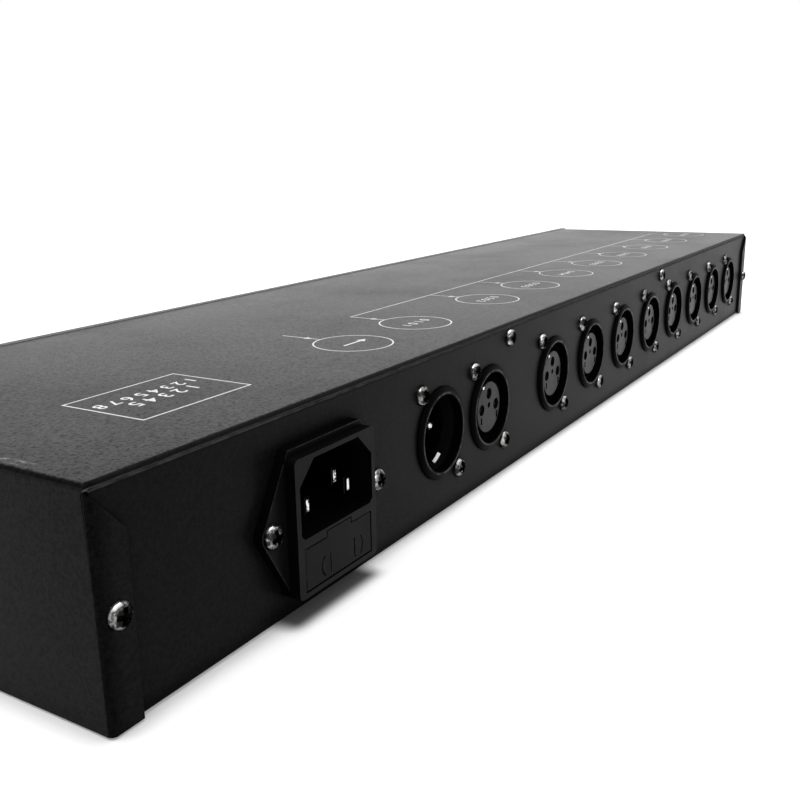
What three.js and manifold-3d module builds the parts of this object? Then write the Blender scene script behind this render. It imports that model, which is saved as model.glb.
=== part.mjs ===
// A DMX signal splitter: a flat sheet-metal case one rack unit high, with a mains inlet, one input,
// one thru and eight outputs along its rear, and a power switch and indicator lamps on its front.
// Millimetres, +Z up. The rear faces +Y. The origin is the middle of the face that the case rests on.
import * as THREE from 'three';
import { mergeVertices } from 'three/addons/utils/BufferGeometryUtils.js';
import Module from 'manifold-3d';

const wasm = await Module();
wasm.setup();

// Sheet-metal case
const caseWidth = 464;
const caseDepth = 106;
const caseHeight = 44;
const sheet = 1;
const bendInside = 0.3;
const wallEdgeRadius = 0.8;
const sideFlangeHeight = 9;
const coverLift = 0.3;
const lipInset = 8;

// Laps of the cover over both ends of the rear panel
const lapWidth = 7.1;
const lapSlopeShare = 1.11;
const lapScrewInset = 3.75;
const lapScrewDrop = 1;

// Clearances
const sheetFit = 0.2;
const seatGap = 0.05;
const slideFit = 0.25;
const screwFit = 0.2;
const overrun = 1;

// Front panel
const panelThickness = 3;
const panelOverhang = 4;
const panelRise = 0.6;
const panelCornerRadius = 1;

// Places along the rear as shares of the width, from the end that is on the left as seen from behind
const inletPlaceShare = 0.129;
const inputPlaceShare = 0.2429;
const outputPlaceShares = [0.4034, 0.9224];
const outputCount = 8;
const thruGap = 2.3;
const connectorRise = 0.2;
const coverScrewPlaceShares = [0.332, 0.655];
const coverScrewRiseShare = 0.426;

// Round panel connectors
const flangeWidth = 26;
const flangeHeight = 30;
const flangeThickness = 2;
const flangeCornerRadius = 2.5;
const ringRadius = 12;
const ringProud = 1.2;
const ringSlopeWidth = 1.6;
const ringSlopeHeight = 1;
const boreRadius = 10;
const shellRadius = 11.5;
const shellLength = 18;
const footWidth = 12;
const footHeight = 1.5;
const screwAcross = 19;
const screwApart = 24;

// Contact carriers inside the connectors
const carrierThickness = 4;
const coreRadius = 7.25;
const coreRecess = 1.3;
const contactSpread = 4.45;
const contactRise = 3.9;
const contactRadius = 1.3;
const contactDepth = 7;
const pinRadius = 1.2;
const pinRecess = 6.1;
const pinTipLength = 0.8;
const tailWidth = 13;
const tailThickness = 2.5;
const tailRise = 3;

// Pan-head screws, one kind throughout
const headRadius = 2.5;
const headHeight = 1.6;
const headRim = 0.5;
const headCrownShare = 0.64;
const shankRadius = 1.35;
const shankReach = 4.5;

// Mains inlet with a fuse drawer
const inletDrop = 1.2;
const lozengeHeight = 31.5;
const lozengeThickness = 2;
const earRadius = 3.1;
const inletScrewSpacing = 37.4;
const blockWidth = 27;
const blockHeight = 28.5;
const blockProud = 3;
const blockCornerRadius = 1.5;
const inletReach = 24;
const cavityWidth = 24.1;
const cavityHeight = 15.8;
const cavityDrop = 1.2;
const cavityChamfer = 5.2;
const cavityDepth = 17;
const bladeWidth = 2;
const bladeHeight = 4;
const bladeTail = 6;
const bladeSpacing = 14;
const earthRise = 4.5;
const bladeLine = 2.75;
const bladeRecess = 2.7;
const earthRecess = 0.8;

// Fuse drawer and fuse
const drawerHeight = 8.8;
const drawerFrame = 1.9;
const drawerFace = 3;
const drawerLength = 27;
const drawerTrayHeight = 7.4;
const drawerTabWidth = 9;
const drawerTabHeight = 1.3;
const fuseRadius = 2.6;
const fuseLength = 20;
const fuseCapLength = 5;
const fuseCapStep = 0.3;
const fuseBed = 1.2;

// Rocker switch on the front
const switchMargin = 27;
const bezelWidth = 15;
const bezelHeight = 21;
const bezelProud = 2;
const switchWidth = 12.8;
const switchHeight = 18.8;
const switchWall = 1;
const switchReach = 17;
const switchFloor = 5;
const lugWidth = 4.8;
const lugThickness = 0.8;
const lugLength = 6;
const lugSpacing = 7;
const rockerTilt = 12;
const rockerSink = 0.3;
const rockerBack = 3.2;
const rockerPivotDepth = 1.6;

// Circuit boards
const boardThickness = 1.6;
const boardEdgeGap = 1.6;
const boardEnd = 8;
const tongueDepth = 37;
const tongueReach = 15;
const boardGap = 5;
const bossRadius = 3;
const bossInset = 6;
const chipSize = 8;
const chipHeight = 3.5;
const chipRowGap = 12;

// Indicator lamps on the front edge of the main board
const lampRadius = 1.5;
const lampProud = 0.6;
const lampLevel = 22;
const lampPitch = 24;
const lampHolderWidth = 5;
const lampHolderDepth = 7;
const lampHolderCap = 2.4;
const lampWallGap = 0.6;
const powerLampPlace = 68;

// Power supply board
const supplyWidth = 78;
const supplyDepth = 56;
const coilSize = 24;
const coilHeight = 19;
const storeRadius = 8;
const storeLength = 22;
const heatSinkThickness = 3;
const heatSinkLength = 30;
const heatSinkHeight = 22;
const terminalWidth = 15;
const terminalDepth = 9;
const terminalHeight = 10;
const partGap = 5;

// Mains wiring
const trunkRadius = 2.4;
const legRadius = 1.5;
const legLength = 9;
const wireGap = 0.4;

// Facets on round forms
const bendSteps = 4;
const cornerSteps = 2;
const ringSteps = 20;
const barrelSteps = 12;
const holeSteps = 8;
const bossSides = 6;
const screwSteps = 10;
const earSteps = 12;
const wireSides = 6;
const wireSteps = 12;
const legSteps = 5;

// Faces and levels that several pieces share
const bendRadius = bendInside + sheet;
const rearFace = caseDepth / 2;
const frontFace = -caseDepth / 2;
const innerRear = rearFace - sheet;
const innerFront = frontFace + sheet;
const endPlane = caseWidth / 2;
const innerEnd = endPlane - sheet;
const topInside = caseHeight - sheet;
const wallTop = topInside - sheetFit;
const panelFront = frontFace - panelThickness;
const panelTop = caseHeight + panelRise;
const connectorLevel = caseHeight / 2 + connectorRise;
const boardTop = connectorLevel - shellRadius - footHeight;
const boardUnder = boardTop - boardThickness;
const boardRear = innerRear - flangeThickness - boardEdgeGap;
const boardFront = innerFront + boardEdgeGap;
const lipBottom = connectorLevel + flangeHeight / 2 + sheetFit;
const lipRear = innerRear - sheetFit;
const lapFace = rearFace + seatGap + sheet;
const lapBend = lapFace - bendRadius;
const lapTop = caseHeight - bendRadius;
const coverScrewLevel = lipBottom + coverScrewRiseShare * (wallTop - lipBottom);
const lapScrewLevel = caseHeight / 2 - lapScrewDrop;
const inletX = endPlane - inletPlaceShare * caseWidth;
const inletLevel = caseHeight / 2 - inletDrop;
const inletBlockTop = inletLevel + blockHeight / 2;
const inletFront = rearFace + lozengeThickness + blockProud;
const cavityTop = inletBlockTop - cavityDrop;
const cavityBottom = cavityTop - cavityHeight;
const cavityMiddle = (cavityTop + cavityBottom) / 2;
const cavityFloor = inletFront - cavityDepth;
const inletBack = rearFace - inletReach;
const drawerTop = cavityBottom - drawerFrame;
const drawerBottom = drawerTop - drawerHeight;
const fuseLevel = drawerBottom + slideFit + fuseBed + fuseRadius;
const fuseBack = inletFront - drawerLength + fuseBed + slideFit;
const switchX = endPlane - switchMargin;
const switchLevel = caseHeight / 2;
const switchBack = panelFront + switchReach;
const bezelFront = panelFront - bezelProud;
const pocketWidth = switchWidth - 2 * switchWall;
const pocketHeight = switchHeight - 2 * switchWall;
const switchLugs = [switchLevel - lugSpacing / 2, switchLevel + lugSpacing / 2];
const rockerPivot = bezelFront + rockerPivotDepth;
const inputPlace = inputPlaceShare * caseWidth;
const thruPlace = inputPlace + flangeWidth + thruGap;
const tongueEnd = endPlane - inputPlace + tongueReach;
const supplyRight = switchX - switchWidth / 2 - boardGap;
const supplyLeft = supplyRight - supplyWidth;
const supplyFront = boardFront;
const supplyBack = supplyFront + supplyDepth;
const mainBoardRight = supplyLeft - boardGap;
const mainBoardLeft = -endPlane + boardEnd;

// Shape and solid helpers

function solidOf(geometry) {
  const bare = geometry.clone();
  bare.deleteAttribute('normal');
  bare.deleteAttribute('uv');
  const merged = mergeVertices(bare);
  const corners = merged.index.array;
  const kept = [];
  for (let i = 0; i < corners.length; i += 3) {
    const [a, b, c] = [corners[i], corners[i + 1], corners[i + 2]];
    if (a !== b && b !== c && c !== a) {
      kept.push(a, b, c);
    }
  }
  return new wasm.Manifold(new wasm.Mesh({
    numProp: 3,
    vertProperties: Float32Array.from(merged.attributes.position.array),
    triVerts: Uint32Array.from(kept),
  }));
}

function geometryOf(solid) {
  const mesh = solid.getMesh();
  const geometry = new THREE.BufferGeometry();
  geometry.setAttribute('position', new THREE.BufferAttribute(Float32Array.from(mesh.vertProperties), 3));
  geometry.setIndex(new THREE.BufferAttribute(Uint32Array.from(mesh.triVerts), 1));
  geometry.computeVertexNormals();
  return geometry;
}

function joined(...solids) {
  return solids.reduce((whole, piece) => whole.add(piece));
}

function cutBy(solid, ...tools) {
  return tools.reduce((whole, tool) => whole.subtract(tool), solid);
}

function block(x, y, z) {
  const geometry = new THREE.BoxGeometry(x[1] - x[0], y[1] - y[0], z[1] - z[0]);
  geometry.translate((x[0] + x[1]) / 2, (y[0] + y[1]) / 2, (z[0] + z[1]) / 2);
  return solidOf(geometry);
}

function around(middle, size) {
  return [middle - size / 2, middle + size / 2];
}

// An extrusion gives each arc of its outline twice the segments that it is asked for
function extruded(shape, length, steps) {
  return new THREE.ExtrudeGeometry(shape, { depth: length, bevelEnabled: false, curveSegments: steps / 2 });
}

// A shape drawn in X and Z, carried along Y
function alongY(shape, y, steps = bendSteps) {
  const geometry = extruded(shape, y[1] - y[0], steps);
  geometry.rotateX(Math.PI / 2);
  geometry.translate(0, y[1], 0);
  return solidOf(geometry);
}

// A shape drawn in Y and Z, carried along X
function alongX(shape, x, steps = bendSteps) {
  const geometry = extruded(shape, x[1] - x[0], steps);
  const toYZ = new THREE.Matrix4().makeBasis(
    new THREE.Vector3(0, 1, 0),
    new THREE.Vector3(0, 0, 1),
    new THREE.Vector3(1, 0, 0),
  );
  geometry.applyMatrix4(toYZ);
  geometry.translate(x[0], 0, 0);
  return solidOf(geometry);
}

// A shape drawn in X and Y, carried along Z
function alongZ(shape, z, steps = bendSteps) {
  const geometry = extruded(shape, z[1] - z[0], steps);
  geometry.translate(0, 0, z[0]);
  return solidOf(geometry);
}

// A rod along Y round the point x, z
function rodY(radius, x, y, z, steps = holeSteps) {
  const geometry = new THREE.CylinderGeometry(radius, radius, y[1] - y[0], steps);
  geometry.translate(x, (y[0] + y[1]) / 2, z);
  return solidOf(geometry);
}

// A rod along Z round the point x, y
function rodZ(radius, x, y, z, steps = holeSteps) {
  const geometry = new THREE.CylinderGeometry(radius, radius, z[1] - z[0], steps);
  geometry.rotateX(Math.PI / 2);
  geometry.translate(x, y, (z[0] + z[1]) / 2);
  return solidOf(geometry);
}

// A body turned about the Y axis from points of radius and Y
function turned(points, steps) {
  const profile = points.map(([radius, y]) => new THREE.Vector2(radius, y));
  return solidOf(new THREE.LatheGeometry(profile, steps));
}

function roundedRectangle(x, z, radius) {
  const shape = new THREE.Shape();
  shape.moveTo(x[0] + radius, z[0]);
  shape.lineTo(x[1] - radius, z[0]);
  shape.absarc(x[1] - radius, z[0] + radius, radius, -Math.PI / 2, 0, false);
  shape.lineTo(x[1], z[1] - radius);
  shape.absarc(x[1] - radius, z[1] - radius, radius, 0, Math.PI / 2, false);
  shape.lineTo(x[0] + radius, z[1]);
  shape.absarc(x[0] + radius, z[1] - radius, radius, Math.PI / 2, Math.PI, false);
  shape.lineTo(x[0], z[0] + radius);
  shape.absarc(x[0] + radius, z[0] + radius, radius, Math.PI, 1.5 * Math.PI, false);
  return shape;
}

// A bent channel of sheet seen end on. Its web lies at the level `web` and its two legs, at plus and
// minus `half`, run from it in the direction `toward` and end at the levels in `ends`.
function channelShape(half, web, toward, ends) {
  const middle = half - bendRadius;
  const level = web + toward * bendRadius;
  const clockwise = toward < 0;
  const bend = (x, radius, from, to, reversed) => {
    shape.absarc(x, level, radius, toward * from, toward * to, reversed);
  };
  const shape = new THREE.Shape();
  shape.moveTo(-half, ends[0]);
  shape.lineTo(-half, level);
  bend(-middle, bendRadius, Math.PI, 1.5 * Math.PI, clockwise);
  bend(middle, bendRadius, 1.5 * Math.PI, 2 * Math.PI, clockwise);
  shape.lineTo(half, ends[1]);
  shape.lineTo(half - sheet, ends[1]);
  bend(middle, bendInside, 2 * Math.PI, 1.5 * Math.PI, !clockwise);
  bend(-middle, bendInside, 1.5 * Math.PI, Math.PI, !clockwise);
  shape.lineTo(-half + sheet, ends[0]);
  return shape;
}

// Places that repeat

function rearX(place) {
  return endPlane - place;
}

const connectors = [
  { name: 'input', x: rearX(inputPlace), male: true },
  { name: 'thru', x: rearX(thruPlace), male: false },
];
for (let i = 0; i < outputCount; i += 1) {
  const placeShare = THREE.MathUtils.lerp(...outputPlaceShares, i / (outputCount - 1));
  connectors.push({ name: `output_${i + 1}`, x: rearX(placeShare * caseWidth), male: false });
}

function connectorScrews(connector) {
  return [
    { name: `${connector.name}_screw_upper`, x: connector.x + screwAcross / 2, z: connectorLevel + screwApart / 2 },
    { name: `${connector.name}_screw_lower`, x: connector.x - screwAcross / 2, z: connectorLevel - screwApart / 2 },
  ];
}

const coverScrews = coverScrewPlaceShares.map((share, i) => (
  { name: `cover_screw_${i + 1}`, x: rearX(share * caseWidth), z: coverScrewLevel }
));
const lapScrews = [
  { name: 'end_screw_1', x: endPlane - lapScrewInset, z: lapScrewLevel },
  { name: 'end_screw_2', x: lapScrewInset - endPlane, z: lapScrewLevel },
];
const inletScrews = [
  { name: 'inlet_screw_1', x: inletX + inletScrewSpacing / 2, z: inletLevel },
  { name: 'inlet_screw_2', x: inletX - inletScrewSpacing / 2, z: inletLevel },
];

const lampPlaces = [powerLampPlace];
for (let i = 0; i < outputCount; i += 1) {
  lampPlaces.push(powerLampPlace - boardGap - (i + 1) * lampPitch);
}

function screwHoles(screws, y) {
  return screws.map((screw) => rodY(shankRadius + screwFit, screw.x, y, screw.z));
}

// The bosses that carry a board stand near its corners and along its length
const mainBosses = [];
const mainBossRows = [boardFront + bossInset, boardRear - bossInset];
const mainBossShares = [0, 0.25, 0.5, 0.75, 1];
for (const share of mainBossShares) {
  const x = THREE.MathUtils.lerp(mainBoardLeft + bossInset, mainBoardRight - bossInset, share);
  for (const y of mainBossRows) {
    mainBosses.push({ x, y });
  }
}
const supplyBosses = [];
for (const x of [supplyLeft + bossInset, supplyRight - bossInset]) {
  for (const y of [supplyFront + bossInset, supplyBack - bossInset]) {
    supplyBosses.push({ x, y });
  }
}

// Sheet-metal pieces

function baseTray() {
  const half = innerEnd - sheetFit;
  const outline = channelShape(caseDepth / 2, 0, 1, [wallTop, wallTop]);
  const edge = new THREE.Shape();
  edge.moveTo(rearFace + overrun, wallTop + overrun);
  edge.lineTo(rearFace - wallEdgeRadius, wallTop + overrun);
  edge.lineTo(rearFace - wallEdgeRadius, wallTop);
  edge.absarc(rearFace - wallEdgeRadius, wallTop - wallEdgeRadius, wallEdgeRadius, Math.PI / 2, 0, true);
  edge.lineTo(rearFace + overrun, wallTop - wallEdgeRadius);
  const through = [innerRear - overrun, rearFace + overrun];
  const frontThrough = [frontFace - overrun, innerFront + overrun];
  const sideFlange = (side) => block(
    side > 0 ? [half - sheet, half] : [-half, sheet - half],
    [innerFront + sheetFit, innerRear - sheetFit],
    [0, sideFlangeHeight],
  );
  const bosses = [...mainBosses, ...supplyBosses].map(
    (boss) => rodZ(bossRadius, boss.x, boss.y, [sheet / 2, boardUnder - seatGap], bossSides),
  );
  const rings = connectors.map(
    (connector) => rodY(ringRadius + sheetFit, connector.x, through, connectorLevel, ringSteps),
  );
  const lampHoles = lampPlaces.map(
    (x) => rodY(lampRadius + sheetFit, x, frontThrough, lampLevel),
  );
  const inletHole = block(
    around(inletX, blockWidth + 2 * slideFit),
    through,
    around(inletLevel, blockHeight + 2 * slideFit),
  );
  const switchHole = block(
    around(switchX, switchWidth + 2 * slideFit),
    frontThrough,
    around(switchLevel, switchHeight + 2 * slideFit),
  );
  const screws = [...connectors.flatMap(connectorScrews), ...coverScrews, ...lapScrews, ...inletScrews];
  const folded = cutBy(alongX(outline, [-half, half]), alongX(edge, [-half - overrun, half + overrun]));
  const tray = joined(folded, sideFlange(1), sideFlange(-1), ...bosses);
  return cutBy(tray, ...rings, ...lampHoles, inletHole, switchHole, ...screwHoles(screws, through));
}

// One end plate's rear edge and the lap that folds from it over the rear panel
function coverLap(side) {
  const plate = new THREE.Shape();
  const centre = endPlane - bendRadius;
  plate.moveTo(endPlane, lipRear - overrun);
  plate.absarc(centre, lapBend, bendRadius, 0, Math.PI / 2, false);
  plate.lineTo(endPlane - lapWidth, lapFace);
  plate.lineTo(endPlane - lapWidth, lapFace - sheet);
  plate.absarc(centre, lapBend, bendInside, Math.PI / 2, 0, true);
  plate.lineTo(innerEnd, lipRear - overrun);
  const folded = alongZ(plate, [coverLift, lapTop]);
  const reach = lapWidth + overrun;
  const slope = new THREE.Shape();
  slope.moveTo(endPlane, lapTop);
  slope.lineTo(endPlane, lapTop + overrun);
  slope.lineTo(endPlane - reach, lapTop + overrun);
  slope.lineTo(endPlane - reach, lapTop - lapSlopeShare * reach);
  const lap = cutBy(folded, alongY(slope, [lapBend, lapFace + overrun]));
  return side > 0 ? lap : lap.mirror([1, 0, 0]);
}

// The cover's end plates stop at their bends, and its top sheet runs on to the rear face
function topCover() {
  const legs = channelShape(endPlane, caseHeight, -1, [coverLift, coverLift]);
  const top = channelShape(endPlane, caseHeight, -1, [lapTop, lapTop]);
  const shell = joined(alongY(legs, [frontFace, lapBend]), alongY(top, [lipRear, rearFace]));
  const lip = block(
    [lipInset - endPlane, endPlane - lipInset],
    [lipRear - sheet, lipRear],
    [lipBottom, caseHeight - sheet / 2],
  );
  const lipHoles = screwHoles(coverScrews, [lipRear - sheet - overrun, lipRear + overrun]);
  const lapHoles = screwHoles(lapScrews, [rearFace, lapFace + overrun]);
  return cutBy(joined(shell, lip, coverLap(1), coverLap(-1)), ...lipHoles, ...lapHoles);
}

function frontPanel() {
  const reach = endPlane + panelOverhang;
  const outline = roundedRectangle([-reach, reach], [coverLift, panelTop], panelCornerRadius);
  const through = [panelFront - overrun, frontFace + overrun];
  const lampHoles = lampPlaces.map((x) => rodY(lampRadius + sheetFit, x, through, lampLevel));
  const switchHole = block(
    around(switchX, switchWidth + 2 * slideFit),
    through,
    around(switchLevel, switchHeight + 2 * slideFit),
  );
  return cutBy(alongY(outline, [panelFront, frontFace - seatGap]), switchHole, ...lampHoles);
}

// Circuit boards

function mainBoard() {
  const outline = new THREE.Shape();
  outline.moveTo(mainBoardLeft, boardFront);
  outline.lineTo(mainBoardRight, boardFront);
  outline.lineTo(mainBoardRight, boardRear - tongueDepth);
  outline.lineTo(tongueEnd, boardRear - tongueDepth);
  outline.lineTo(tongueEnd, boardRear);
  outline.lineTo(mainBoardLeft, boardRear);
  const chipRow = boardRear - shellLength - chipRowGap - chipSize / 2;
  const chips = connectors.slice(1).map((connector) => block(
    around(connector.x, chipSize),
    around(chipRow, chipSize),
    [boardUnder, boardTop + chipHeight],
  ));
  const holderBack = innerFront + lampWallGap + lampHolderDepth;
  const holders = lampPlaces.map((x) => block(
    around(x, lampHolderWidth),
    [innerFront + lampWallGap, holderBack],
    [boardTop - boardThickness / 2, lampLevel + lampHolderCap],
  ));
  const holderFeet = lampPlaces.map((x) => block(
    around(x, lampHolderWidth),
    [boardFront, holderBack],
    [boardUnder, lampLevel],
  ));
  const lamps = lampPlaces.map(
    (x) => rodY(lampRadius, x, [panelFront - lampProud, holderBack - lampRadius], lampLevel),
  );
  return joined(alongZ(outline, [boardUnder, boardTop]), ...chips, ...holders, ...holderFeet, ...lamps);
}

function powerSupply() {
  const board = block([supplyLeft, supplyRight], [supplyFront, supplyBack], [boardUnder, boardTop]);
  const middleX = (supplyLeft + supplyRight) / 2;
  const coil = block(
    around(middleX, coilSize),
    [supplyFront + partGap, supplyFront + partGap + coilSize],
    [boardUnder, boardTop + coilHeight],
  );
  const storeY = supplyBack - partGap - storeRadius;
  const store = rodZ(
    storeRadius,
    middleX + partGap,
    storeY,
    [boardUnder, boardTop + storeLength],
    holeSteps,
  );
  const heatSinkX = supplyLeft + 2 * partGap;
  const heatSink = block(
    [heatSinkX, heatSinkX + heatSinkThickness],
    around((supplyFront + supplyBack) / 2, heatSinkLength),
    [boardUnder, boardTop + heatSinkHeight],
  );
  const terminal = block(
    [supplyRight - terminalDepth - partGap / 2, supplyRight - partGap / 2],
    around((supplyFront + supplyBack) / 2, terminalWidth),
    [boardUnder, boardTop + terminalHeight],
  );
  return joined(board, coil, store, heatSink, terminal);
}

// Round panel connectors, each made at X = 0 and moved to its place

function connectorShell() {
  const front = rearFace + ringProud;
  const back = innerRear - seatGap;
  const slopeIn = ringSlopeWidth * Math.SQRT1_2;
  const slopeUp = ringSlopeHeight * Math.SQRT1_2;
  const outside = [
    [0, back - flangeThickness / 2],
    [ringRadius, back - flangeThickness / 2],
    [ringRadius, front - ringSlopeHeight],
    [ringRadius - ringSlopeWidth + slopeIn, front - ringSlopeHeight + slopeUp],
    [ringRadius - ringSlopeWidth, front],
    [0, front],
  ];
  const ring = turned(outside, ringSteps).translate([0, 0, connectorLevel]);
  const flangeOutline = roundedRectangle(
    around(0, flangeWidth),
    around(connectorLevel, flangeHeight),
    flangeCornerRadius,
  );
  const flange = alongY(flangeOutline, [back - flangeThickness, back], cornerSteps);
  const shellBack = back - shellLength;
  const barrel = rodY(shellRadius, 0, [shellBack, back], connectorLevel, barrelSteps);
  const foot = block(
    around(0, footWidth),
    [shellBack + flangeThickness, boardRear - boardEdgeGap],
    [boardTop + seatGap, connectorLevel - shellRadius / 2],
  );
  const bore = rodY(boreRadius, 0, [shellBack - overrun, front + overrun], connectorLevel, ringSteps);
  const holes = screwHoles(
    connectorScrews({ name: '', x: 0 }),
    [back - flangeThickness - overrun, back + overrun],
  );
  return cutBy(joined(ring, flange, barrel, foot), bore, ...holes);
}

// The carrier's disc and the tail that takes its contacts down to the board
function carrierBody() {
  const back = innerRear - seatGap - shellLength;
  const disc = rodY(
    boreRadius - sheetFit,
    0,
    [back - tailThickness / 2, back + carrierThickness],
    connectorLevel,
    barrelSteps,
  );
  const tail = block(
    around(0, tailWidth),
    [back - tailThickness, back - seatGap],
    [boardTop + seatGap, connectorLevel + tailRise],
  );
  return joined(disc, tail);
}

function socketCarrier() {
  const back = innerRear - seatGap - shellLength;
  const front = rearFace + ringProud - coreRecess;
  const core = rodY(coreRadius, 0, [back + seatGap, front], connectorLevel, ringSteps);
  const holes = [[-contactSpread, 0], [contactSpread, 0], [0, contactRise]].map(
    ([x, z]) => rodY(contactRadius, x, [front - contactDepth, front + overrun], connectorLevel + z),
  );
  return cutBy(joined(carrierBody(), core), ...holes);
}

function pinCarrier() {
  const back = innerRear - seatGap - shellLength;
  const tip = rearFace + ringProud - pinRecess;
  const profile = [
    [0, back + seatGap],
    [pinRadius, back + seatGap],
    [pinRadius, tip - pinTipLength],
    [pinRadius / 2, tip],
    [0, tip],
  ];
  const pins = [[-contactSpread, 0], [contactSpread, 0], [0, -contactSpread]].map(
    ([x, z]) => turned(profile, holeSteps).translate([x, 0, connectorLevel + z]),
  );
  return joined(carrierBody(), ...pins);
}

// A pan-head screw whose head seats at Y = 0
function panHeadScrew() {
  const profile = [
    [0, -shankReach],
    [shankRadius, -shankReach],
    [shankRadius, 0],
    [headRadius, 0],
    [headRadius, headRim],
    [headRadius * headCrownShare, headHeight],
    [0, headHeight],
  ];
  return turned(profile, screwSteps);
}

// Mains inlet, drawn round X = 0 and Z = 0 where it is symmetrical

function lozengeShape() {
  const half = lozengeHeight / 2;
  const side = blockWidth / 2;
  const ear = inletScrewSpacing / 2;
  const slant = Math.atan2(half, side - ear);
  const touch = slant - Math.acos(earRadius / Math.hypot(side - ear, half));
  const shape = new THREE.Shape();
  shape.moveTo(-side, half);
  shape.absarc(-ear, 0, earRadius, Math.PI - touch, Math.PI + touch, false);
  shape.lineTo(-side, -half);
  shape.lineTo(side, -half);
  shape.absarc(ear, 0, earRadius, -touch, touch, false);
  shape.lineTo(side, half);
  return shape;
}

function cavityShape() {
  const side = cavityWidth / 2;
  const shape = new THREE.Shape();
  shape.moveTo(inletX - side, cavityBottom);
  shape.lineTo(inletX + side, cavityBottom);
  shape.lineTo(inletX + side, cavityTop - cavityChamfer);
  shape.lineTo(inletX + side - cavityChamfer, cavityTop);
  shape.lineTo(inletX - side + cavityChamfer, cavityTop);
  shape.lineTo(inletX - side, cavityTop - cavityChamfer);
  return shape;
}

const blades = [
  { name: 'inlet_pin_live', x: inletX - bladeSpacing / 2, z: cavityMiddle - bladeLine, recess: bladeRecess },
  { name: 'inlet_pin_neutral', x: inletX + bladeSpacing / 2, z: cavityMiddle - bladeLine, recess: bladeRecess },
  { name: 'inlet_pin_earth', x: inletX, z: cavityMiddle - bladeLine + earthRise, recess: earthRecess },
];

function bladePin(blade) {
  return block(
    around(blade.x, bladeWidth),
    [inletBack - bladeTail, inletFront - blade.recess],
    around(blade.z, bladeHeight),
  );
}

// The drawer's pull tab, or with no clearance the notch that it sits in
function drawerTab(clearance, front) {
  return block(
    around(inletX, drawerTabWidth - 2 * clearance),
    [inletFront - drawerFace - slideFit + clearance, front],
    [drawerTop - drawerFrame, drawerTop + drawerTabHeight - clearance],
  );
}

function inletBody() {
  const plate = alongY(lozengeShape(), [rearFace + seatGap, rearFace + lozengeThickness], earSteps)
    .translate([inletX, 0, inletLevel]);
  const outline = roundedRectangle(
    around(inletX, blockWidth),
    around(inletLevel, blockHeight),
    blockCornerRadius,
  );
  const housing = alongY(outline, [inletBack, inletFront], cornerSteps);
  const cavity = alongY(cavityShape(), [cavityFloor, inletFront + overrun]);
  const slot = block(
    around(inletX, cavityWidth),
    [inletFront - drawerLength - slideFit, inletFront + overrun],
    [drawerBottom, drawerTop],
  );
  const tabNotch = drawerTab(0, inletFront + overrun);
  const bladeHoles = blades.map((blade) => block(
    around(blade.x, bladeWidth + sheetFit),
    [inletBack - overrun, cavityFloor + overrun],
    around(blade.z, bladeHeight + sheetFit),
  ));
  const holes = screwHoles(inletScrews, [rearFace - overrun, rearFace + lozengeThickness + overrun]);
  return cutBy(joined(plate, housing), cavity, slot, tabNotch, ...bladeHoles, ...holes);
}

function fuseDrawer() {
  const sides = around(inletX, cavityWidth - 2 * slideFit);
  const floor = drawerBottom + slideFit;
  const face = block(sides, [inletFront - drawerFace, inletFront], [floor, drawerTop - slideFit]);
  const tray = block(
    sides,
    [inletFront - drawerLength, inletFront - drawerFace / 2],
    [floor, floor + drawerTrayHeight],
  );
  const hollow = [fuseBack - slideFit, fuseBack + fuseLength + slideFit];
  const trough = rodY(fuseRadius + slideFit, inletX, hollow, fuseLevel);
  const mouth = block(
    around(inletX, 2 * (fuseRadius + slideFit)),
    hollow,
    [fuseLevel, floor + drawerTrayHeight + overrun],
  );
  return cutBy(joined(face, tray, drawerTab(slideFit, inletFront)), trough, mouth);
}

function fuseTube() {
  const glass = fuseRadius - fuseCapStep;
  const front = fuseBack + fuseLength;
  const profile = [
    [0, fuseBack],
    [fuseRadius, fuseBack],
    [fuseRadius, fuseBack + fuseCapLength],
    [glass, fuseBack + fuseCapLength],
    [glass, front - fuseCapLength],
    [fuseRadius, front - fuseCapLength],
    [fuseRadius, front],
    [0, front],
  ];
  return turned(profile, holeSteps).translate([inletX, 0, fuseLevel]);
}

// Power switch, in the front panel

function switchBody() {
  const bezel = alongY(
    roundedRectangle(around(switchX, bezelWidth), around(switchLevel, bezelHeight), panelCornerRadius),
    [bezelFront, panelFront - seatGap],
    cornerSteps,
  );
  const housing = block(
    around(switchX, switchWidth),
    [bezelFront + bezelProud / 2, switchBack],
    around(switchLevel, switchHeight),
  );
  const pocket = block(
    around(switchX, pocketWidth),
    [bezelFront - overrun, switchBack - switchFloor],
    around(switchLevel, pocketHeight),
  );
  const lugs = switchLugs.map((z) => block(
    around(switchX, lugWidth),
    [switchBack - switchFloor / 2, switchBack + lugLength],
    around(z, lugThickness),
  ));
  return cutBy(joined(bezel, housing, ...lugs), pocket);
}

// The rocker is drawn round its pivot, level, and tilted where it is placed
function switchRocker() {
  const reach = pocketHeight / 2 - slideFit;
  const rise = Math.tan(THREE.MathUtils.degToRad(rockerTilt));
  const crest = rockerPivotDepth - rockerSink;
  const spread = 1 + rise * rise;
  const root = Math.sqrt(spread * reach * reach - crest * crest);
  const end = (root - rise * crest) / spread;
  const faceAngle = Math.atan2(end, -(crest + rise * end));
  const backAngle = Math.acos(rockerBack / reach);
  const shape = new THREE.Shape();
  shape.moveTo(-crest, 0);
  shape.absarc(0, 0, reach, faceAngle, backAngle, true);
  shape.absarc(0, 0, reach, -backAngle, -faceAngle, true);
  shape.lineTo(-crest, 0);
  const half = pocketWidth / 2 - slideFit;
  return alongX(shape, [-half, half], bendSteps);
}

// Mains wiring from the inlet to the switch and on to the power supply

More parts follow.
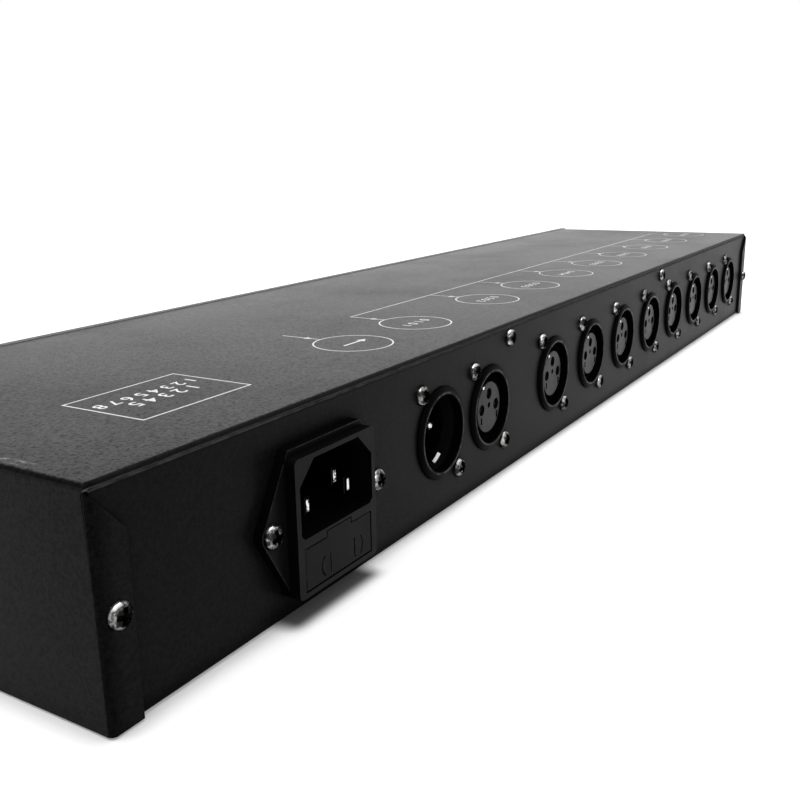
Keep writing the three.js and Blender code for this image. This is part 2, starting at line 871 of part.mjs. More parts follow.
function wire(points, radius, steps) {
  const section = new THREE.Shape();
  section.absarc(0, 0, radius, 0, 2 * Math.PI, false);
  const path = new THREE.CatmullRomCurve3(points.map((point) => new THREE.Vector3(...point)));
  const geometry = new THREE.ExtrudeGeometry(section, {
    steps,
    extrudePath: path,
    curveSegments: wireSides / 2,
    bevelEnabled: false,
  });
  return solidOf(geometry);
}

function mainsHarness() {
  const inletEnd = inletBack - bladeTail - wireGap;
  const switchEnd = switchBack + lugLength + wireGap;
  const joint = [inletX + bladeSpacing / 2, inletEnd - legLength, inletLevel];
  const turnPoint = [switchX, (inletEnd + switchEnd) / 2, inletLevel];
  const fork = [switchX, switchEnd + legLength, switchLevel];
  const trunk = wire([joint, turnPoint, fork], trunkRadius, wireSteps);
  const bladeLegs = blades.map((blade) => wire(
    [[blade.x, inletEnd, blade.z], [blade.x, inletEnd - legLength / 2, blade.z], joint],
    legRadius,
    legSteps,
  ));
  const lugLegs = switchLugs.map((z) => wire(
    [[switchX, switchEnd, z], [switchX, switchEnd + legLength / 2, z], fork],
    legRadius,
    legSteps,
  ));
  const supplyMiddle = (supplyFront + supplyBack) / 2;
  const terminalLevel = boardTop + terminalHeight / 2;
  const supplyLeg = wire(
    [
      [supplyRight - partGap / 2 + wireGap, supplyMiddle, terminalLevel],
      [(supplyRight + switchX) / 2, supplyMiddle, terminalLevel],
      fork,
    ],
    legRadius,
    legSteps,
  );
  return joined(trunk, ...bladeLegs, ...lugLegs, supplyLeg);
}

// Finishes, one for each piece

function finish(colour, roughness, metalness) {
  return new THREE.MeshStandardMaterial({ color: colour, roughness, metalness });
}

const powderCoat = () => finish(0x2b2c2e, 0.62, 0.15);
const panelCoat = () => finish(0x1f2022, 0.5, 0.15);
const blackPlastic = () => finish(0x141516, 0.45, 0);
const greyPlastic = () => finish(0x4c4d4f, 0.5, 0);
const darkNickel = () => finish(0x6b6c70, 0.3, 0.9);
const brightNickel = () => finish(0xc9cbd0, 0.22, 1);
const boardGreen = () => finish(0x1f5a38, 0.55, 0);
const glassFinish = () => finish(0xd5dade, 0.15, 0.1);
const rockerRed = () => finish(0xa51b1b, 0.35, 0);
const wireSleeve = () => finish(0x26272a, 0.6, 0);

const splitter = new THREE.Group();

function addPiece(name, solid, material, place = [0, 0, 0], tilt = 0) {
  const mesh = new THREE.Mesh(geometryOf(solid), material);
  mesh.name = name;
  mesh.position.set(...place);
  mesh.rotation.x = THREE.MathUtils.degToRad(tilt);
  splitter.add(mesh);
}

addPiece('base_tray', baseTray(), powderCoat());
addPiece('top_cover', topCover(), powderCoat());
addPiece('front_panel', frontPanel(), panelCoat());
addPiece('main_board', mainBoard(), boardGreen());
addPiece('power_supply', powerSupply(), boardGreen());
addPiece('mains_harness', mainsHarness(), wireSleeve());
addPiece('switch_body', switchBody(), blackPlastic());
addPiece('switch_rocker', switchRocker(), rockerRed(), [switchX, rockerPivot, switchLevel], rockerTilt);
addPiece('inlet_body', inletBody(), blackPlastic());
for (const blade of blades) {
  addPiece(blade.name, bladePin(blade), brightNickel());
}
addPiece('fuse_drawer', fuseDrawer(), blackPlastic());
addPiece('fuse', fuseTube(), glassFinish());

const shell = connectorShell();
const sockets = socketCarrier();
const pins = pinCarrier();
for (const connector of connectors) {
  const place = [connector.x, 0, 0];
  addPiece(`${connector.name}_shell`, shell, blackPlastic(), place);
  const carrier = connector.male ? pins : sockets;
  addPiece(`${connector.name}_carrier`, carrier, connector.male ? blackPlastic() : greyPlastic(), place);
}

const screw = panHeadScrew();
function addScrews(screws, seat) {
  for (const { name, x, z } of screws) {
    addPiece(name, screw, darkNickel(), [x, seat + seatGap, z]);
  }
}

addScrews(connectors.flatMap(connectorScrews), rearFace);
addScrews(coverScrews, rearFace);
addScrews(lapScrews, lapFace);
addScrews(inletScrews, rearFace + lozengeThickness);

export default splitter;
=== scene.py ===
"""The looks of a rack-height DMX splitter box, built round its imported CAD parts.

Sizes are in millimetres. Materials, the stage and its lights have their places in metres.
"""

import math
import random

import bmesh
import bpy
from mathutils import Matrix, Vector


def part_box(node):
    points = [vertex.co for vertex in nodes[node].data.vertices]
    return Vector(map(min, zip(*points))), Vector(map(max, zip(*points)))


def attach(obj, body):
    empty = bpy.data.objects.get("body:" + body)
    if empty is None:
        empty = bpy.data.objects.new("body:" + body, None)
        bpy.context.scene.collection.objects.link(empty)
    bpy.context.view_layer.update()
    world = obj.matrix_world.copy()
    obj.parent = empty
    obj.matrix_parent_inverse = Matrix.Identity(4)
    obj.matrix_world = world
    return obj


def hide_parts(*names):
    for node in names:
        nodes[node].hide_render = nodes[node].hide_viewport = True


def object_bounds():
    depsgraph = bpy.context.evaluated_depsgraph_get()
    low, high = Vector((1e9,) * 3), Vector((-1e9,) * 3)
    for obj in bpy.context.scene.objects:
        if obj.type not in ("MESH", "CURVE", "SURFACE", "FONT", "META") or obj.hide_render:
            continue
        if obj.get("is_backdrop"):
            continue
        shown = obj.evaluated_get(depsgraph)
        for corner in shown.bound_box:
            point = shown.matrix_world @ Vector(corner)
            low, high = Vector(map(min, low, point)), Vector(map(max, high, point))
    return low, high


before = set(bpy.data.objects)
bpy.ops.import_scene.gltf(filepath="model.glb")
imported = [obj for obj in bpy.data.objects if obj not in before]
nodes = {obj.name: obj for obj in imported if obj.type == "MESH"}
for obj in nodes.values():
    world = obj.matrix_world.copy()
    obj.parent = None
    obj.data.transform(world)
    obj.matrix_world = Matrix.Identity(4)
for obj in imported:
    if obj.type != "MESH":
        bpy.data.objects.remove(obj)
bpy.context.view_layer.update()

MM = 0.001

# The case as the CAD part has it, but the panel, inlet and drawer follow the photo more closely
END = 232.0
REAR, FRONT = 53.0, -53.0
TOP = 44.0
SHEET = 1.0
BEND_INSIDE = 0.3
BEND = BEND_INSIDE + SHEET
COVER_LIFT = 0.3
LAP_FACE = REAR + 0.05 + SHEET
LAP_BEND = LAP_FACE - BEND
LAP_TOP = TOP - BEND
LAP_WIDTH = 7.1
LAP_SLOPE = 1.11
LIP_REAR = REAR - SHEET - 0.2
LIP_BOTTOM = 37.4
PANEL_FRONT, PANEL_TOP, PANEL_REACH = -56.0, 44.2, 235.0
LEVEL = 22.2
WIDTH = 2 * END
INPUT_X = END - 0.2429 * WIDTH
THRU_X = INPUT_X - 28.3
OUTPUTS = [END - WIDTH * (0.4034 + (0.9224 - 0.4034) * i / 7) for i in range(8)]
COVER_SCREWS = [END - share * WIDTH for share in (0.332, 0.655)]
COVER_SCREW_Z = 39.7
INLET_X, INLET_Z = END - 0.129 * WIDTH, 20.8
INLET_PLATE = REAR + 2.4
INLET_FRONT = REAR + 5.0
CAVITY_TOP, CAVITY_BOTTOM = 34.05, 18.05
DRAWER_TOP, DRAWER_BOTTOM = 16.15, 6.6
MARK_Z = 10.0
SWITCH_X, SWITCH_Z = 205.0, 22.0
LAMPS = [68.0] + [39.0 - 24 * i for i in range(8)]
LAMP_Z = 22.0
BRIM = 0.85
SCREW_ACROSS, SCREW_UP = 9.5, 12.0
SCREW_HOLE = 1.55
END_SCREW_INSET, END_SCREW_Z = 3.75, 21
SHELL_BACK, SHELL_DEPTH = REAR - SHEET - 0.05, 18
BORE, CORE, CARRIER = 10.0, 7.25, 9.8
FOOT_BOTTOM = 9.25
SOCKETS = [("thru", THRU_X)] + [(f"output_{i + 1}", x) for i, x in enumerate(OUTPUTS)]
CONTACTS = [(-4.4, 0), (4.4, 0), (0, 3.9)]
INLET_EAR, INLET_WIDTH = 18.7, 28.2
EDGE_ANGLE = 40

# Places of marks, painted highlights and painted shade in the coats, and of the board's face, in metres
SCUFF_X, SCUFF_Y = 0.2295, 0.0335
RIM_HIGHLIGHT_Y, RIM_HIGHLIGHT_LOW, RIM_HIGHLIGHT_HIGH = 0.0519, 0.0423, 0.0426
FRONT_SHEEN = (-0.054, -0.026)
END_SHADE = (0.2278, 0.2306)
BOARD_FACE = 0.0092


# Outlines and meshes, in millimetres

def arc(x, y, radius, start, end, steps):
    turn = [math.radians(start + (end - start) * i / steps) for i in range(steps + 1)]
    return [(x + radius * math.cos(a), y + radius * math.sin(a)) for a in turn]


def circle(x, y, radius, steps=48):
    return arc(x, y, radius, 0, 360 - 360 / steps, steps - 1)


def rounded(x, y, radius, steps=6):
    starts = [(x[1], y[0], -90), (x[1], y[1], 0), (x[0], y[1], 90), (x[0], y[0], 180)]
    outline = []
    for cx, cy, start in starts:
        mx = cx - radius if cx == x[1] else cx + radius
        my = cy - radius if cy == y[1] else cy + radius
        outline += arc(mx, my, radius, start, start + 90, steps)
    return outline


def about(middle, size):
    return (middle - size / 2, middle + size / 2)


def corners(x, y):
    return [(x[0], y[0]), (x[1], y[0]), (x[1], y[1]), (x[0], y[1])]


def prism(outline, axis, low, high):
    """A flat outline carried along an axis; the outline is in Y, Z for x, in X, Z for y and in X, Y for z."""
    place = {
        "x": lambda u, v, t: (t, u, v),
        "y": lambda u, v, t: (u, t, v),
        "z": lambda u, v, t: (u, v, t),
    }[axis]
    bm = bmesh.new()
    ends = [[bm.verts.new(place(u, v, t)) for u, v in outline] for t in (low, high)]
    bm.faces.new(ends[0])
    bm.faces.new(list(reversed(ends[1])))
    for i in range(len(outline)):
        j = (i + 1) % len(outline)
        bm.faces.new((ends[0][j], ends[0][i], ends[1][i], ends[1][j]))
    bmesh.ops.recalc_face_normals(bm, faces=bm.faces)
    return bm


def box(x, y, z):
    return prism(corners(x, z), "y", y[0], y[1])


def rod(x, z, radius, low, high, steps=32):
    return prism(circle(x, z, radius, steps), "y", low, high)


def lathe(profile, steps=64, x=0.0, z=0.0):
    """A profile of radius and Y, turned about the line along Y through x and z."""
    bm = bmesh.new()
    rings = []
    for radius, y in profile:
        if radius < 1e-6:
            rings.append([bm.verts.new((x, y, z))])
        else:
            rings.append([bm.verts.new((x + u, y, z + v)) for u, v in circle(0, 0, radius, steps)])
    closed = rings[0] is not rings[-1] and len(rings[0]) > 1
    pairs = list(zip(rings, rings[1:])) + ([(rings[-1], rings[0])] if closed else [])
    for a, b in pairs:
        for i in range(steps):
            j = (i + 1) % steps
            face = [a[i % len(a)], a[j % len(a)], b[j % len(b)], b[i % len(b)]]
            face = [v for k, v in enumerate(face) if v is not face[k - 1]]
            if len(face) > 2:
                bm.faces.new(face)
    bmesh.ops.recalc_face_normals(bm, faces=bm.faces)
    return bm


def in_scene(name, data):
    thing = bpy.data.objects.new(name, data)
    bpy.context.scene.collection.objects.link(thing)
    return thing


def temporary(bm):
    mesh = bpy.data.meshes.new("temporary")
    bm.to_mesh(mesh)
    bm.free()
    return in_scene("temporary", mesh)


def applied(thing):
    """The object's mesh with its modifiers applied; the object goes."""
    graph = bpy.context.evaluated_depsgraph_get()
    mesh = bpy.data.meshes.new_from_object(thing.evaluated_get(graph))
    bpy.data.objects.remove(thing)
    return mesh


def gathered(parts):
    """Several bmeshes as the separate shells of one."""
    whole = bmesh.new()
    for part in parts:
        mesh = bpy.data.meshes.new("part")
        part.to_mesh(mesh)
        part.free()
        whole.from_mesh(mesh)
        bpy.data.meshes.remove(mesh)
    return whole


def from_mesh(mesh):
    bm = bmesh.new()
    bm.from_mesh(mesh)
    bpy.data.meshes.remove(mesh)
    return bm


def combined(first, operation, *others):
    """first joined with the others one by one, or with all of them cut away."""
    thing = temporary(first)
    tools = [temporary(other) for other in others] if operation == "UNION" else [temporary(gathered(others))]
    for tool in tools:
        change = thing.modifiers.new("change", "BOOLEAN")
        change.operation = operation
        change.solver = "EXACT"
        change.object = tool
    mesh = applied(thing)
    for tool in tools:
        bpy.data.objects.remove(tool)
    return from_mesh(mesh)


def join(first, *others):
    return combined(first, "UNION", *others)


def cut(first, *others):
    return combined(first, "DIFFERENCE", *others)


def bevelled(thing, width, segments, angle):
    ease = thing.modifiers.new("edges", "BEVEL")
    ease.width = width
    ease.segments = segments
    ease.limit_method = "ANGLE"
    ease.angle_limit = math.radians(angle)
    return ease


def eased(bm, width, segments=2, angle=30):
    """All sharp edges rounded, before any cuts are made."""
    thing = temporary(bm)
    bevelled(thing, width, segments, angle)
    return from_mesh(applied(thing))


def moved(bm, x=0.0, y=0.0, z=0.0):
    bmesh.ops.translate(bm, verts=bm.verts, vec=(x, y, z))
    return bm


def mirrored(bm):
    copy = bm.copy()
    bmesh.ops.scale(copy, vec=(-1, 1, 1), verts=copy.verts)
    bmesh.ops.reverse_faces(copy, faces=copy.faces)
    return copy


def mesh_of(name, bm, materials, smooth=35):
    mesh = bpy.data.meshes.new(name)
    bmesh.ops.scale(bm, vec=(MM, MM, MM), verts=bm.verts)
    bm.to_mesh(mesh)
    bm.free()
    for material in materials:
        mesh.materials.append(material)
    mesh.shade_smooth()
    mesh.set_sharp_from_angle(angle=math.radians(smooth))
    return mesh


def piece(name, mesh, body="case", replaces=(), edge=0.0, edge_material=None, place=(0, 0, 0),
          matrix=None):
    """A piece of the object. edge rounds its sharp edges, in the last material or in edge_material."""
    thing = in_scene(name, mesh)
    thing.location = Vector(place) * MM
    if matrix is not None:
        thing.matrix_world = matrix
    if edge:
        ease = bevelled(thing, edge * MM, 2, EDGE_ANGLE)
        ease.use_clamp_overlap = False
        ease.material = len(mesh.materials) - 1 if edge_material is None else edge_material
    level = thing.modifiers.new("normals", "WEIGHTED_NORMAL")
    level.keep_sharp = True
    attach(thing, body)
    if replaces:
        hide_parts(*([replaces] if isinstance(replaces, str) else replaces))
    return thing


# Materials

class Surface:
    """A material whose nodes are put together a few at a time."""

    def __init__(self, name):
        self.material = bpy.data.materials.new(name)
        self.material.use_nodes = True
        self.tree = self.material.node_tree
        self.tree.nodes.clear()
        self.output = self.add("ShaderNodeOutputMaterial")
        coordinates = self.add("ShaderNodeTexCoord").outputs["Object"]
        chance = self.add("ShaderNodeObjectInfo").outputs["Random"]
        self.place = self.vector(coordinates, chance, "ADD")

    def add(self, kind, settings=None, inputs=None):
        node = self.tree.nodes.new(kind)
        for key, value in (settings or {}).items():
            setattr(node, key, value)
        for key, value in (inputs or {}).items():
            socket = node.inputs[key]
            if isinstance(value, bpy.types.NodeSocket):
                self.tree.links.new(value, socket)
            else:
                socket.default_value = value
        return node

    def vector(self, a, b, operation):
        return self.add("ShaderNodeVectorMath", {"operation": operation}, {0: a, 1: b}).outputs[0]

    def axes(self, vector=None):
        """The X, Y and Z of a vector, or else of the place on the object."""
        if vector is None:
            vector = self.add("ShaderNodeTexCoord").outputs["Object"]
        return self.add("ShaderNodeSeparateXYZ", None, {0: vector}).outputs

    def normal_axes(self):
        return self.axes(self.add("ShaderNodeNewGeometry").outputs["Normal"])

    def noise(self, scale, detail=3.0, roughness=0.5, stretch=None):
        place = self.place
        if stretch:
            place = self.vector(place, stretch, "MULTIPLY")
        inputs = {"Vector": place, "Scale": scale, "Detail": detail, "Roughness": roughness}
        return self.add("ShaderNodeTexNoise", None, inputs).outputs["Fac"]

    def spread(self, value, low, high, to_low, to_high):
        inputs = {"Value": value, "From Min": low, "From Max": high, "To Min": to_low, "To Max": to_high}
        return self.add("ShaderNodeMapRange", None, inputs).outputs["Result"]

    def sum(self, a, b, operation="ADD"):
        return self.add("ShaderNodeMath", {"operation": operation}, {0: a, 1: b}).outputs[0]

    def distance(self, value, middle):
        return self.sum(self.sum(value, middle, "SUBTRACT"), 0.0, "ABSOLUTE")

    def blend(self, factor, a, b):
        node = self.add("ShaderNodeMix", {"data_type": "RGBA"})
        for socket, value in ((node.inputs[0], factor), (node.inputs[6], a), (node.inputs[7], b)):
            if isinstance(value, bpy.types.NodeSocket):
                self.tree.links.new(value, socket)
            else:
                socket.default_value = value
        return node.outputs[2]

    def bump(self, height, strength, distance, under=None):
        inputs = {"Height": height, "Strength": strength, "Distance": distance}
        if under is not None:
            inputs["Normal"] = under
        return self.add("ShaderNodeBump", None, inputs).outputs["Normal"]

    def finish(self, inputs):
        shader = self.add("ShaderNodeBsdfPrincipled", None, inputs)
        self.tree.links.new(shader.outputs[0], self.output.inputs["Surface"])
        return self.material


def colour(value, tint=(1, 1, 1)):
    return (value * tint[0], value * tint[1], value * tint[2], 1)


def coat(name, base, roughness, specular, speckle=0.3, bump=0.3, wear=0.0, rim_highlight=0.0, shaded=False,
         scuffed_with_front_sheen=False, shaded_ends=False):
    """Powder coat: a fine speckle, soft tone changes and handling marks.

    wear lightens worn places. The rim setting paints a highlight along the upper rear edge. The scuff setting
    rubs the top near its corner and paints a brighter sheen on its front. The end setting paints shade on the
    rear's ends, and shaded paints shade into recesses, both by dulling the gloss.
    """
    s = Surface(name)
    tone = s.spread(s.noise(14, 4), 0.3, 0.7, 0, 1)
    shade = s.blend(tone, colour(base * 0.92), colour(base * 1.1))
    speck = s.spread(s.noise(1150, 4, 0.85), 0.4, 0.6, 0, 1)
    shade = s.blend(speck, s.blend(speckle, shade, colour(0)), s.blend(speckle, shade, colour(base * 3)))
    marks = s.spread(s.noise(33, 5, 0.65), 0.45, 0.75, 0, 0.05)
    rough = s.sum(s.sum(marks, roughness), s.spread(speck, 0, 1, -0.05, 0.05))
    if wear:
        worn = s.spread(s.noise(160, 4, 0.7), 0.6, 0.72, 0, 1)
        shade = s.blend(s.sum(worn, wear, "MULTIPLY"), shade, colour(0.16))
    at = s.axes()
    if scuffed_with_front_sheen:
        beside = s.spread(s.distance(at["X"], SCUFF_X), 0.0004, 0.0012, 1, 0)
        along = s.spread(s.distance(at["Y"], SCUFF_Y), 0.004, 0.008, 1, 0)
        scratched = s.spread(s.noise(420, 4, 0.7, (1, 0.35, 1)), 0.48, 0.6, 0, 1)
        scuff = s.sum(s.sum(beside, along, "MULTIPLY"), scratched, "MULTIPLY")
        shade = s.blend(s.sum(scuff, 0.7, "MULTIPLY"), shade, colour(0.3))
    # A painted highlight along the upper rear edge
    if rim_highlight:
        high = s.spread(at["Z"], RIM_HIGHLIGHT_LOW, RIM_HIGHLIGHT_HIGH, 0, 1)
        edge = s.sum(high, s.sum(at["Y"], RIM_HIGHLIGHT_Y, "GREATER_THAN"), "MULTIPLY")
        patchy = s.spread(s.noise(260, 3, 0.6), 0.35, 0.65, 0.35, 1)
        shade = s.blend(s.sum(edge, patchy, "MULTIPLY"), shade, colour(rim_highlight))
    gloss = s.spread(speck, 0, 1, specular * (1 - speckle), specular * (1 + speckle))
    if scuffed_with_front_sheen:
        gloss = s.sum(gloss, s.spread(s.noise(430, 3, 0.6), 0.35, 0.65, 0.82, 1.18), "MULTIPLY")
        # A painted sheen, brighter towards the front edge of the top
        gloss = s.sum(gloss, s.spread(at["Y"], *FRONT_SHEEN, 1.6, 1), "MULTIPLY")
    if shaded_ends:
        # Painted shade on the rear's ends, where the gloss falls away over the last few millimetres
        reach = s.sum(at["X"], 0.0, "ABSOLUTE")
        gloss = s.sum(gloss, s.spread(reach, *END_SHADE, 1, 0.3), "MULTIPLY")
    if shaded:
        # Painted shade in recesses, from ambient occlusion
        near = s.add("ShaderNodeAmbientOcclusion", {"samples": 6}, {"Distance": 0.0045}).outputs["AO"]
        gloss = s.sum(gloss, s.spread(near, 0.6, 0.97, 0.12, 1), "MULTIPLY")
    normal = s.bump(s.noise(2600, 2, 0.6), bump, 0.0001)
    return s.finish({"Base Color": shade, "Roughness": rough, "Specular IOR Level": gloss, "Normal": normal})


def plastic(name, base, roughness, specular=0.45, tint=(1, 1, 1), wear=0.25, broken=False, shaded=False):
    """Moulded plastic: flow marks, spark texture and worn spots.

    broken leaves gaps in its gloss, and shaded paints shade into recesses by dulling the gloss there.
    """
    s = Surface(name)
    tone = s.spread(s.noise(60, 3), 0.3, 0.7, 0, 1)
    shade = s.blend(tone, colour(base * 0.88, tint), colour(base * 1.12, tint))
    wear_and_highlight = s.spread(s.noise(420, 5, 0.7), 0.62, 0.75, 0, wear)
    shade = s.blend(wear_and_highlight, shade, colour(min(1, base * 2 + 0.004), tint))
    rough = s.spread(s.noise(150, 4, 0.6), 0.3, 0.7, roughness - 0.05, roughness + 0.07)
    normal = s.bump(s.noise(2600, 2), 0.12, 0.00006)
    gloss = specular
    if broken:
        gloss = s.spread(s.noise(330, 4, 0.7), 0.42, 0.62, specular * 0.15, specular * 1.2)
    if shaded:
        # Painted shade in recesses, from ambient occlusion
        near = s.add("ShaderNodeAmbientOcclusion", {"samples": 6}, {"Distance": 0.006}).outputs["AO"]
        gloss = s.spread(near, 0.5, 0.97, specular * 0.08, specular)
    return s.finish({"Base Color": shade, "Roughness": rough, "Specular IOR Level": gloss, "Normal": normal})


def metal(name, base, roughness, tint=(1, 1, 1), dull=0.35):
    """Plated metal: fine scratches and cloudy tarnish."""
    s = Surface(name)
    cloud = s.spread(s.noise(700, 4, 0.6), 0.35, 0.7, 0, 1)
    shade = s.blend(cloud, colour(base, tint), colour(base * (1 - dull), tint))
    rough = s.spread(s.noise(900, 4, 0.6), 0.3, 0.7, roughness - 0.06, roughness + 0.12)
    normal = s.bump(s.noise(1500, 3, 0.5, (1, 1, 8)), 0.1, 0.00005)
    return s.finish({"Base Color": shade, "Metallic": 1.0, "Roughness": rough, "Normal": normal})


def glinting(name, low, high, scale, threshold):
    """Dark plated metal with the bright places and broken ring of the photo's screws painted on."""
    s = Surface(name)
    glint = s.spread(s.noise(scale, 3, 0.55), threshold, threshold + 0.09, 0, 1)
    turned = s.normal_axes()
    side = s.spread(turned["Y"], 0.55, 0.9, 1, 0.25)
    above = s.spread(turned["Z"], 0.5, 0.68, 0, 1)
    caught = s.sum(above, s.spread(s.noise(scale * 0.7, 2), 0.38, 0.5, 0.1, 1), "MULTIPLY")
    flat = s.vector(s.add("ShaderNodeTexCoord").outputs["Object"], (1, 0, 1), "MULTIPLY")
    radius = s.add("ShaderNodeVectorMath", {"operation": "LENGTH"}, {0: flat}).outputs["Value"]
    outer = s.spread(radius, 0.0014, 0.0019, 0, 1)
    around = s.sum(outer, s.spread(s.noise(scale, 3, 0.6), 0.45, 0.58, 0.02, 0.42), "MULTIPLY")
    bright = s.sum(s.sum(s.sum(glint, side, "MULTIPLY"), caught, "MAXIMUM"), around, "MAXIMUM")
    shade = s.blend(bright, colour(low), colour(high, (1, 0.99, 0.97)))
    rough = s.spread(s.noise(900, 4, 0.6), 0.3, 0.7, 0.2, 0.34)
    normal = s.bump(s.noise(1500, 3, 0.5), 0.15, 0.00005)
    inputs = {"Base Color": shade, "Metallic": 1.0, "Roughness": rough, "Normal": normal}
    inputs["Specular Tint"] = (0.35, 0.35, 0.35, 1)
    return s.finish(inputs)


def blade_material(name, across):
    """Contact blades: dull, with a painted highlight on the end face, at a share of its width."""
    s = Surface(name)
    turned = s.normal_axes()
    share = s.axes(s.add("ShaderNodeTexCoord").outputs["Generated"])
    end = s.sum(turned["Y"], 0.5, "GREATER_THAN")
    beside = s.spread(s.distance(share["X"], across), 0.17, 0.25, 1, 0)
    above = s.spread(s.distance(share["Z"], 0.5), 0.25, 0.34, 1, 0)
    ragged = s.spread(s.noise(800, 3, 0.6), 0.4, 0.5, 0.1, 1)
    # A painted highlight on the end face, at the given share of its width
    wear_and_highlight = s.sum(s.sum(end, beside, "MULTIPLY"), s.sum(above, ragged, "MULTIPLY"), "MULTIPLY")
    shade = s.blend(wear_and_highlight, colour(0.006), colour(0.85, (1, 0.99, 0.96)))
    rough = s.spread(s.noise(900, 4, 0.6), 0.3, 0.7, 0.2, 0.34)
    normal = s.bump(s.noise(1500, 3, 0.5), 0.1, 0.00005)
    inputs = {"Base Color": shade, "Metallic": 1.0, "Roughness": rough, "Normal": normal}
    inputs["Specular Tint"] = (0.12, 0.12, 0.12, 1)
    return s.finish(inputs)


# The cover has one coat. Its copies for the ends, the rear and the bends are darker, as painted shade. The
# rim copy and the tray's coat carry a painted highlight on the upper rear edge, and the tray's coat painted
# shade in recesses.
cover_coat = coat("cover_coat", 0.008, 0.34, 0.05, 0.75, 0.45, scuffed_with_front_sheen=True)
side_shade_coat = coat("side_shade_coat", 0.006, 0.36, 0.034, 0.2, 0.2)
rear_shade_coat = coat("rear_shade_coat", 0.004, 0.34, 0.03, 0.2, 0.2, shaded_ends=True)
rim_highlight_coat = coat("rim_highlight_coat", 0.004, 0.36, 0.05, 0.3, 0.3, rim_highlight=0.09)
bend_shade_coat = coat("bend_shade_coat", 0.003, 0.36, 0.014, 0.3, 0.3)
tray_coat = coat("tray_coat", 0.004, 0.33, 0.029, 0.15, 0.15, rim_highlight=0.1, shaded=True)
panel_coat = coat("panel_coat", 0.012, 0.38, 0.2, 0.3, 0.2)
panel_edge = coat("panel_edge", 0.03, 0.36, 0.5, 0.3, 0.2, wear=0.3)
# The crest material is a painted highlight, and the bore's band a painted reflection
shell_black = plastic("shell_black", 0.0012, 0.36, 0.011)
shell_crest_highlight = plastic("shell_crest_highlight", 0.008, 0.3, 0.09, broken=True)
bore_reflection = plastic("bore_reflection", 0.004, 0.4, 0.1)
carrier_black = plastic("carrier_black", 0.004, 0.5, 0.1)
carrier_grey = plastic("carrier_grey", 0.005, 0.31, 0.1)
# Inlet materials: the side and cavity ones are darker copies, as painted shade; the plate's one takes painted
# shade in recesses; the edge one is a painted highlight, also on the drawer and the switch frame
inlet_black = plastic("inlet_black", 0.004, 0.4, 0.045)
inlet_side_shade = plastic("inlet_side_shade", 0.0015, 0.42, 0.012)
inlet_plate = plastic("inlet_plate", 0.004, 0.34, 0.03, shaded=True)
cavity_shade = plastic("cavity_shade", 0.0015, 0.7, 0.01)
inlet_edge_highlight = plastic("inlet_edge_highlight", 0.008, 0.34, 0.14, broken=True)
drawer_black = plastic("drawer_black", 0.004, 0.42, 0.04)
rocker_red = plastic("rocker_red", 0.42, 0.3, 0.3, (1, 0.04, 0.03), wear=0.05)
screw_metal = glinting("screw_metal", 0.01, 0.7, 620, 0.58)
# Painted shade for the screws' cross recesses
screw_recess_shade = metal("screw_recess_shade", 0.004, 0.55)
contact_metal = metal("contact_metal", 0.72, 0.2, (1, 0.99, 0.96), dull=0.2)
# The contact sleeves, darkened as painted shade
sleeve_shade_metal = metal("sleeve_shade_metal", 0.05, 0.3, dull=0.3)
blade_metal = blade_material("blade_metal", 0.5)
blade_metal_far = blade_material("blade_metal_far", 0.25)
# The male pins, darkened as painted shade
pin_shade_metal = metal("pin_shade_metal", 0.008, 0.3, dull=0.3)
spring_metal = metal("spring_metal", 0.7, 0.22, (1, 1, 0.98), dull=0.2)


def print_material():
    s = Surface("print_white")
    patchy = s.spread(s.noise(900, 4, 0.6), 0.3, 0.75, 0, 1)
    shade = s.blend(patchy, colour(0.78), colour(0.55))
    rough = s.spread(s.noise(500, 3), 0.3, 0.7, 0.5, 0.65)
    normal = s.bump(s.noise(2300, 3), 0.4, 0.0001)
    return s.finish({"Base Color": shade, "Roughness": rough, "Normal": normal})


def board_material():
    """Green board with its tracks; what stands above it is black."""
    s = Surface("board")
    at = s.axes()
    inputs = {"Vector": s.place, "Scale": 260.0}
    tracks = s.add("ShaderNodeTexVoronoi", {"feature": "DISTANCE_TO_EDGE"}, inputs)
    line = s.spread(tracks.outputs["Distance"], 0.03, 0.06, 1, 0)
    green = s.blend(line, (0.012, 0.09, 0.035, 1), (0.03, 0.2, 0.07, 1))
    above = s.sum(at["Z"], BOARD_FACE, "GREATER_THAN")
    shade = s.blend(above, green, (0.02, 0.02, 0.022, 1))
    rough = s.spread(s.noise(300, 3), 0.3, 0.7, 0.3, 0.5)
    return s.finish({"Base Color": shade, "Roughness": rough, "Normal": s.bump(line, 0.3, 0.0001)})


def glass_material():
    s = Surface("fuse_glass")
    at = s.axes()
    low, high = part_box("fuse")
    cap_length = 0.005
    front_cap = s.sum(at["Y"], low.y + cap_length, "LESS_THAN")
    cap = s.sum(front_cap, s.sum(at["Y"], high.y - cap_length, "GREATER_THAN"))
    shade = s.blend(cap, (0.75, 0.8, 0.8, 1), (0.7, 0.7, 0.68, 1))
    rough = s.spread(s.noise(400, 3), 0.3, 0.7, 0.1, 0.25)
    normal = s.bump(s.noise(900), 0.05, 0.0001)
    return s.finish({"Base Color": shade, "Metallic": cap, "Roughness": rough, "Normal": normal})


def lamp_material(name, tint):
    s = Surface(name)
    shade = s.blend(s.noise(500, 3), (*tint, 1), (*[c * 0.6 for c in tint], 1))
    rough = s.spread(s.noise(700, 3), 0.3, 0.7, 0.15, 0.3)
    normal = s.bump(s.noise(1200), 0.08, 0.0001)
    return s.finish({"Base Color": shade, "Roughness": rough, "Normal": normal, "Transmission Weight": 0.35})


